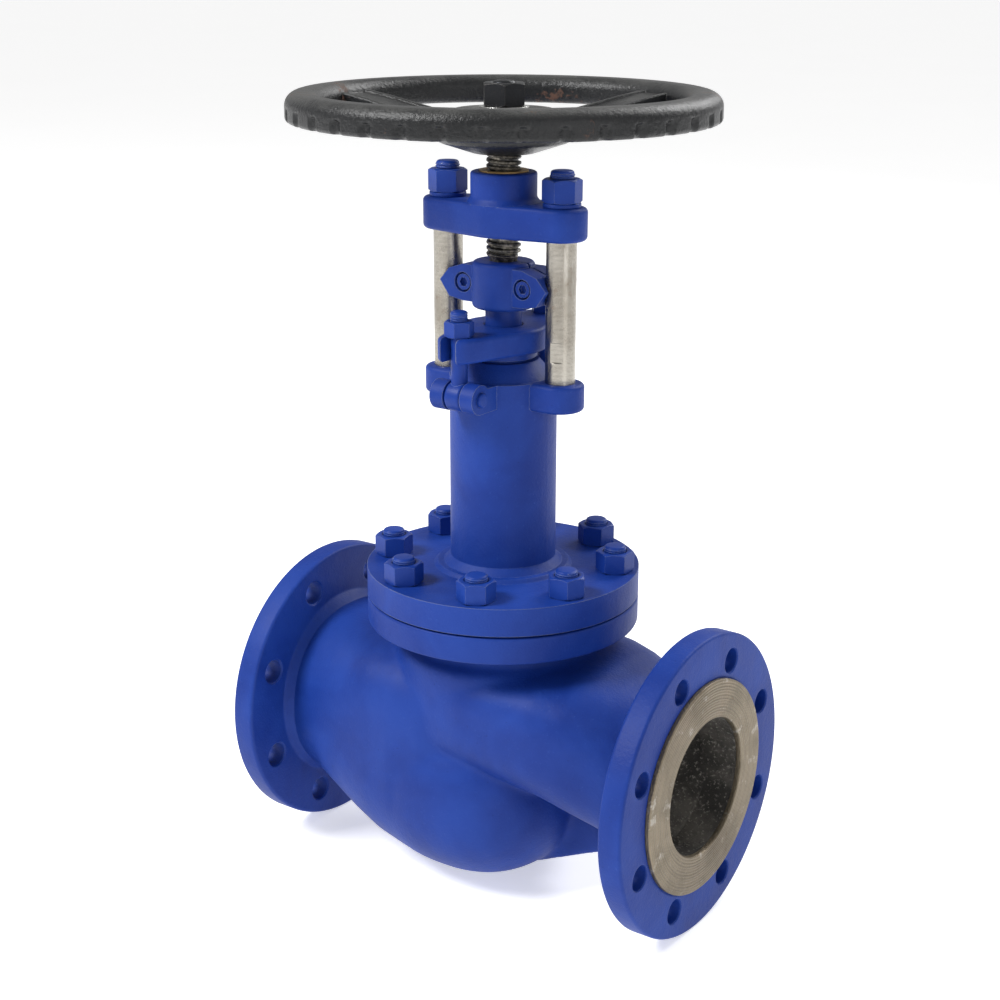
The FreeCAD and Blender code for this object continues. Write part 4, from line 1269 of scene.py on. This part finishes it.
@dataclass
class Gland(Assembly):
    """Gland plate, follower and the swing bolts that pull it down on the packing."""

    ridge: ThreadRidge
    reach: float = 52.0
    low: float = 291.0
    high: float = 308.0
    middle: float = 31.0
    end: float = 14.5
    nut_height: float = 10.8
    proud: float = 6.7
    pivot: float = 266.0
    slot: float = 6.5
    shank: float = 5.75
    eye_bore: float = 5.1
    eye_radius: float = 10.2
    eye_half: float = 6.75

    def cover(self) -> Any:
        """Returns: the slotted oval gland plate."""
        piece = plate("gland_plate", [(0, -self.reach, self.end), (0, 0, self.middle),
                                      (0, self.reach, self.end)], self.low, self.high, 3.0)
        cutters = [turned("way", rounded([(0.0, self.low - 2, 0), (13.3, self.low - 2, 0),
                                          (13.3, self.high - 1.0, 0), (15.0, self.high + 0.6, 0),
                                          (0.0, self.high + 0.6, 0)]))]
        for side in (-1, 1):
            cutters.append(plate(f"slot_{side}", [(0, side * self.reach, self.slot),
                                                  (0, side * (self.reach + 30), self.slot)],
                                 self.low - 4, self.high + 4, 0.5, 48))
        return combine(piece, cutters, Cut.TAKE)

    def bolt(self, side: int, word: str) -> None:
        """Builds one swing bolt and its nut.

        Args:
            side: -1 in front, 1 behind.
            word: the name of that side.
        """
        y = side * self.reach
        top = self.high + self.nut_height + self.proud
        body = f"gland_bolt_{word}"
        mesh = bmesh.new()
        rings = []
        hole, out, half = self.eye_bore, self.eye_radius, self.eye_half
        for radius, x in rounded([(hole, -half, 1.0), (out, -half, 3.4), (out, half, 3.4),
                                  (hole, half, 1.0)], 6):
            rings.append([Vector((x, y + radius * math.cos(a), self.pivot + radius * math.sin(a)))
                          for a in (2 * math.pi * k / 64 for k in range(64))])
        skin(mesh, rings, closed=True)
        eye = to_object("eye", mesh)
        r = self.shank
        rod = turned("rod", rounded([(0.0, self.pivot + 6.4, 0), (r, self.pivot + 6.4, 0), (r, top, 1.4),
                                     (0.0, top, 0)]), segments=40)
        self.ridge.wind(rod, 9.0, r - 0.25, top - 17.0, 0.0158, 0.0006, self.paints.smooth)
        rod.data.transform(Matrix.Translation((0, y * MM, 0)))
        self.show(joined(f"swing_bolt_{word}", [eye, rod]), body, body, self.paints.smooth, [body])
        nut = hexagon(f"swing_nut_{word}", SWING_NUT_FLATS, SWING_NUT_HOLE, self.high,
                      self.high + self.nut_height, 12.0 * side)
        nut.data.transform(Matrix.Translation((0, y * MM, 0)))
        node = f"gland_nut_{word}"
        self.show(nut, node, node, self.paints.smooth, [node])

    def build(self) -> None:
        """Builds the plate and both swing bolts, and dresses the packing."""
        self.show(self.cover(), "valve_body", "gland_flange", self.paints.casting, ["gland_flange"])
        for side, word in ((-1, "front"), (1, "rear")):
            self.bolt(side, word)
            self.keep(f"clevis_pin_{word}", self.paints.smooth)
        self.keep("gland_follower", self.paints.smooth)
        self.keep("packing_rings", self.paints.graphite)
        self.keep("junk_ring", self.paints.bronze)


@dataclass
class StemGroup(Assembly):
    """Stem, disc, bellows and the clamp that stops the stem from turning."""

    def build(self) -> None:
        """Dresses the sliding parts."""
        finishes = {"lower_stem": self.paints.smooth, "bellows": self.paints.hard,
                    "bellows_top_ring": self.paints.hard, "bellows_bottom_ring": self.paints.hard,
                    "clamp_front": self.paints.casting, "clamp_rear": self.paints.casting,
                    "clamp_screws": self.paints.smooth, "disc": self.paints.hard,
                    "disc_retainer": self.paints.stem}
        for node, finish in finishes.items():
            self.keep(node, finish)


@dataclass
class Handwheel(Assembly):
    """The handwheel: notched rim, three bordered spokes, dished hub, washer and nut."""

    ring: RingOfCopies
    ridge: ThreadRidge
    radius: float = 147.5
    rim_width: float = 25.0
    rim_height: float = 19.5
    rim_top: float = 468.0
    hub_low: float = 426.6
    hub_high: float = 455.5
    hub_radius: float = 28.0
    dish_radius: float = 48.0
    dish_low: float = 434.0
    spokes: int = 3
    first_spoke_deg: float = 65.0
    notches: int = 36
    notch_depth: float = 2.3
    notch_half_width: float = 4.0
    thread_low: float = 356.0
    thread_root: float = 10.0
    thread_pitch: float = 4.0
    dome_radius: float = 7.95

    def rim(self) -> Any:
        """Returns: the rim, with finger notches round its lower outside."""
        top, low = self.rim_top, self.rim_top - self.rim_height
        inner = self.radius - self.rim_width
        outline = rounded([(inner, low, 5.0), (self.radius, low, 3.0), (self.radius, top, 9.5),
                           (inner, top, 9.5)], 9)
        dense: list[Point] = []
        for (r0, z0), (r1, z1) in zip(outline, outline[1:] + outline[:1]):
            parts = max(1, int(math.hypot(r1 - r0, z1 - z0) / 1.5))
            dense += [(r0 + (r1 - r0) * k / parts, z0 + (z1 - z0) * k / parts) for k in range(parts)]
        segments = self.notches * 16
        mesh = bmesh.new()
        rings = []
        for r, z in dense:
            ring = []
            for k in range(segments):
                angle = 2 * math.pi * k / segments
                arc = abs((angle * self.notches / (2 * math.pi) + 0.5) % 1.0 - 0.5)
                arc = arc * 2 * math.pi * self.radius / self.notches
                depth = max(0.0, 1.0 - (arc / self.notch_half_width) ** 2) ** 0.6
                height = min(1.0, max(0.0, (low + 10.0 - z) / 1.6))
                outside = min(1.0, max(0.0, (r - self.radius + 9.0) / 4.0))
                pull = r - self.notch_depth * depth * height * outside
                ring.append(Vector((pull * math.cos(angle), pull * math.sin(angle), z)))
            rings.append(ring)
        skin(mesh, rings, closed=True)
        return to_object("rim", mesh, 50.0)

    def spoke(self) -> Any:
        """Returns: one spoke along +X, dished down to the hub, with raised borders on top."""
        stations = [(24.0, 441.0, 21.0), (36.0, 441.5, 21.0), (50.0, 443.6, 20.3), (66.0, 446.6, 19.3),
                    (84.0, 450.2, 18.2), (102.0, 454.0, 17.0), (118.0, 456.8, 16.2), (129.0, 457.6, 15.8)]
        rings = []
        for x, z, half in stations:
            sides = [(-half, -3.4, 2.2), (half, -3.4, 2.2), (half, 5.0, 1.6), (half - 4.0, 5.0, 1.4),
                     (half - 5.2, 3.2, 0.8), (-half + 5.2, 3.2, 0.8), (-half + 4.0, 5.0, 1.4),
                     (-half, 5.0, 1.6)]
            rings.append([Vector((x, y, z + h)) for y, h in rounded(sides, 4)])
        mesh = bmesh.new()
        skin(mesh, rings)
        return to_object("spoke", mesh, 50.0)

    def hub(self) -> Any:
        """Returns: the dished hub."""
        r, dish, low, high = self.hub_radius, self.dish_radius, self.hub_low, self.hub_high
        corners = [(9.0, low, 0), (r - 6.0, low, 2.0), (dish - 2.0, self.dish_low + 0.4, 6.0),
                   (dish, self.dish_low + 5.0, 3.0), (dish - 1.5, self.dish_low + 11.0, 2.0),
                   (r + 10.0, high - 3.0, 4.0), (r + 6.0, high, 2.0), (9.0, high, 0)]
        return turned("wheel_hub", rounded(corners))

    def screw(self) -> None:
        """Builds the spindle: a root bar with its helical thread wound on."""
        low, root = self.thread_low, self.thread_root
        bar = turned("spindle_screw", rounded([
            (0.0, low - 18.0, 0), (9.5, low - 18.0, 0), (9.5, low - 1.0, 0), (root, low, 0),
            (root, self.hub_low + 1.0, 0), (0.0, self.hub_low + 1.0, 0)]), segments=64)
        turns = (self.hub_low - 1.0 - low) / self.thread_pitch
        self.ridge.wind(bar, turns, root + 0.85, low, turns * self.thread_pitch * MM, 0.00135,
                        self.paints.thread)
        self.show(bar, "spindle_and_wheel", "spindle", self.paints.thread, ["spindle"])

    def build(self) -> None:
        """Builds the wheel and its fastening."""
        body = "spindle_and_wheel"
        self.show(self.hub(), body, "handwheel", self.paints.hub)
        spokes = self.ring.run(self.spoke(), {
            "Count": self.spokes, "Radius": 0.0, "Start": math.radians(self.first_spoke_deg),
            "Spread": 0.0, "Follow": 1.0, "Seed": 1, "Finish": self.paints.wheel})
        wheel = joined("wheel_rim_and_spokes", [self.rim(), spokes])
        self.show(wheel, body, "handwheel", self.paints.wheel, ["handwheel"])
        self.keep("wheel_washer", self.paints.zinc)
        high, r = self.hub_high, self.dome_radius
        nut = hexagon("wheel_nut_domed", WHEEL_NUT_FLATS, LARGE_NUT_HOLE, high + 2.0, high + 17.6, 8.0)
        cap = turned("cap", rounded([(0.0, high + 6.0, 0), (r, high + 6.0, 0), (r, high + 18.6, 2.4),
                                     (0.0, high + 19.6, 0)]), segments=48)
        self.show(joined("wheel_nut_domed", [nut, cap]), body, "wheel_nut", self.paints.oxide,
                  ["wheel_nut"])
        self.screw()
        self.keep("thrust_ring", self.paints.bronze)


# ---- Studio ------------------------------------------------------------------------------------------
@dataclass
class Studio:
    """Pale floor, soft light and the camera."""

    eye: Corner = (0.713007, -1.004417, 0.679259)
    forward: Corner = (-0.551436, 0.776811, -0.304112)
    roll_deg: float = 0.118
    lens: float = 64.396
    shift: Point = (-0.00316, 0.00293)
    background: float = 1.0
    ambient: float = 0.46

    def floor(self) -> None:
        """Builds the floor."""
        mesh = bmesh.new()
        bmesh.ops.create_grid(mesh, x_segments=8, y_segments=8, size=40.0)
        data = bpy.data.meshes.new("studio_floor")
        mesh.to_mesh(data)
        mesh.free()
        ground = bpy.data.objects.new("studio_floor", data)
        bpy.context.scene.collection.objects.link(ground)
        net = Net("floor_pale")
        cloud = net.noise(2.0, 2.0)
        tone = net.blend(cloud, (0.86, 0.86, 0.86), (0.90, 0.90, 0.90))
        data.materials.append(net.close(tone, 0.7, 0.0, None, Emission_Color=WHITE,
                                        Emission_Strength=0.52))

    def lamp(self, name: str, place: Corner, aim: Corner, size: float, watts: float) -> None:
        """Hangs one soft lamp.

        Args:
            name: the lamp's name.
            place: where it hangs.
            aim: what it points at.
            size: the side of its square panel.
            watts: its power.
        """
        light = bpy.data.lights.new(name, "AREA")
        light.size = size
        light.energy = watts
        lamp = bpy.data.objects.new(name, light)
        lamp.location = place
        way = Vector(aim) - Vector(place)
        lamp.rotation_euler = way.to_track_quat("-Z", "Y").to_euler()
        bpy.context.scene.collection.objects.link(lamp)

    def build(self) -> None:
        """Builds the studio."""
        self.floor()
        world = bpy.data.worlds.new("soft_room")
        world.use_nodes = True
        shade = world.node_tree.nodes["Background"]
        shade.inputs["Color"].default_value = WHITE
        ray = world.node_tree.nodes.new("ShaderNodeLightPath")
        level = world.node_tree.nodes.new("ShaderNodeMapRange")
        level.inputs["To Min"].default_value = self.ambient
        level.inputs["To Max"].default_value = self.background
        world.node_tree.links.new(ray.outputs["Is Camera Ray"], level.inputs["Value"])
        world.node_tree.links.new(level.outputs["Result"], shade.inputs["Strength"])
        bpy.context.scene.world = world
        bpy.context.scene.view_settings.view_transform = "Standard"
        self.lamp("key", (-1.3, -1.8, 2.5), (0, 0, 0.25), 1.0, 92.0)
        self.lamp("fill", (2.5, -1.0, 1.3), (0, 0, 0.25), 1.4, 12.0)
        self.lamp("back", (0.4, 2.2, 2.0), (0, 0, 0.35), 1.4, 46.0)
        camera = bpy.data.cameras.new("camera")
        camera.lens = self.lens
        camera.sensor_width = 36.0
        camera.shift_x, camera.shift_y = self.shift
        rig = bpy.data.objects.new("camera", camera)
        rig.location = self.eye
        look = Vector(self.forward).to_track_quat("-Z", "Y")
        roll = Matrix.Rotation(math.radians(self.roll_deg), 3, "Z")
        rig.rotation_euler = (look.to_matrix() @ roll).to_euler()
        bpy.context.scene.collection.objects.link(rig)
        bpy.context.scene.camera = rig


def main() -> None:
    """Builds every sub-assembly in order, then the studio."""
    logging.basicConfig(level=logging.INFO, format="%(name)s %(message)s")
    paints = Paints()
    ring = RingOfCopies()
    ridge = ThreadRidge()
    BodyCasting(paints).build()
    BonnetJoint(paints, ring, ridge).build()
    Yoke(paints, ring, ridge).build()
    Gland(paints, ridge).build()
    StemGroup(paints).build()
    Handwheel(paints, ring, ridge).build()
    Studio().build()


if __name__ == "__main__":
    main()
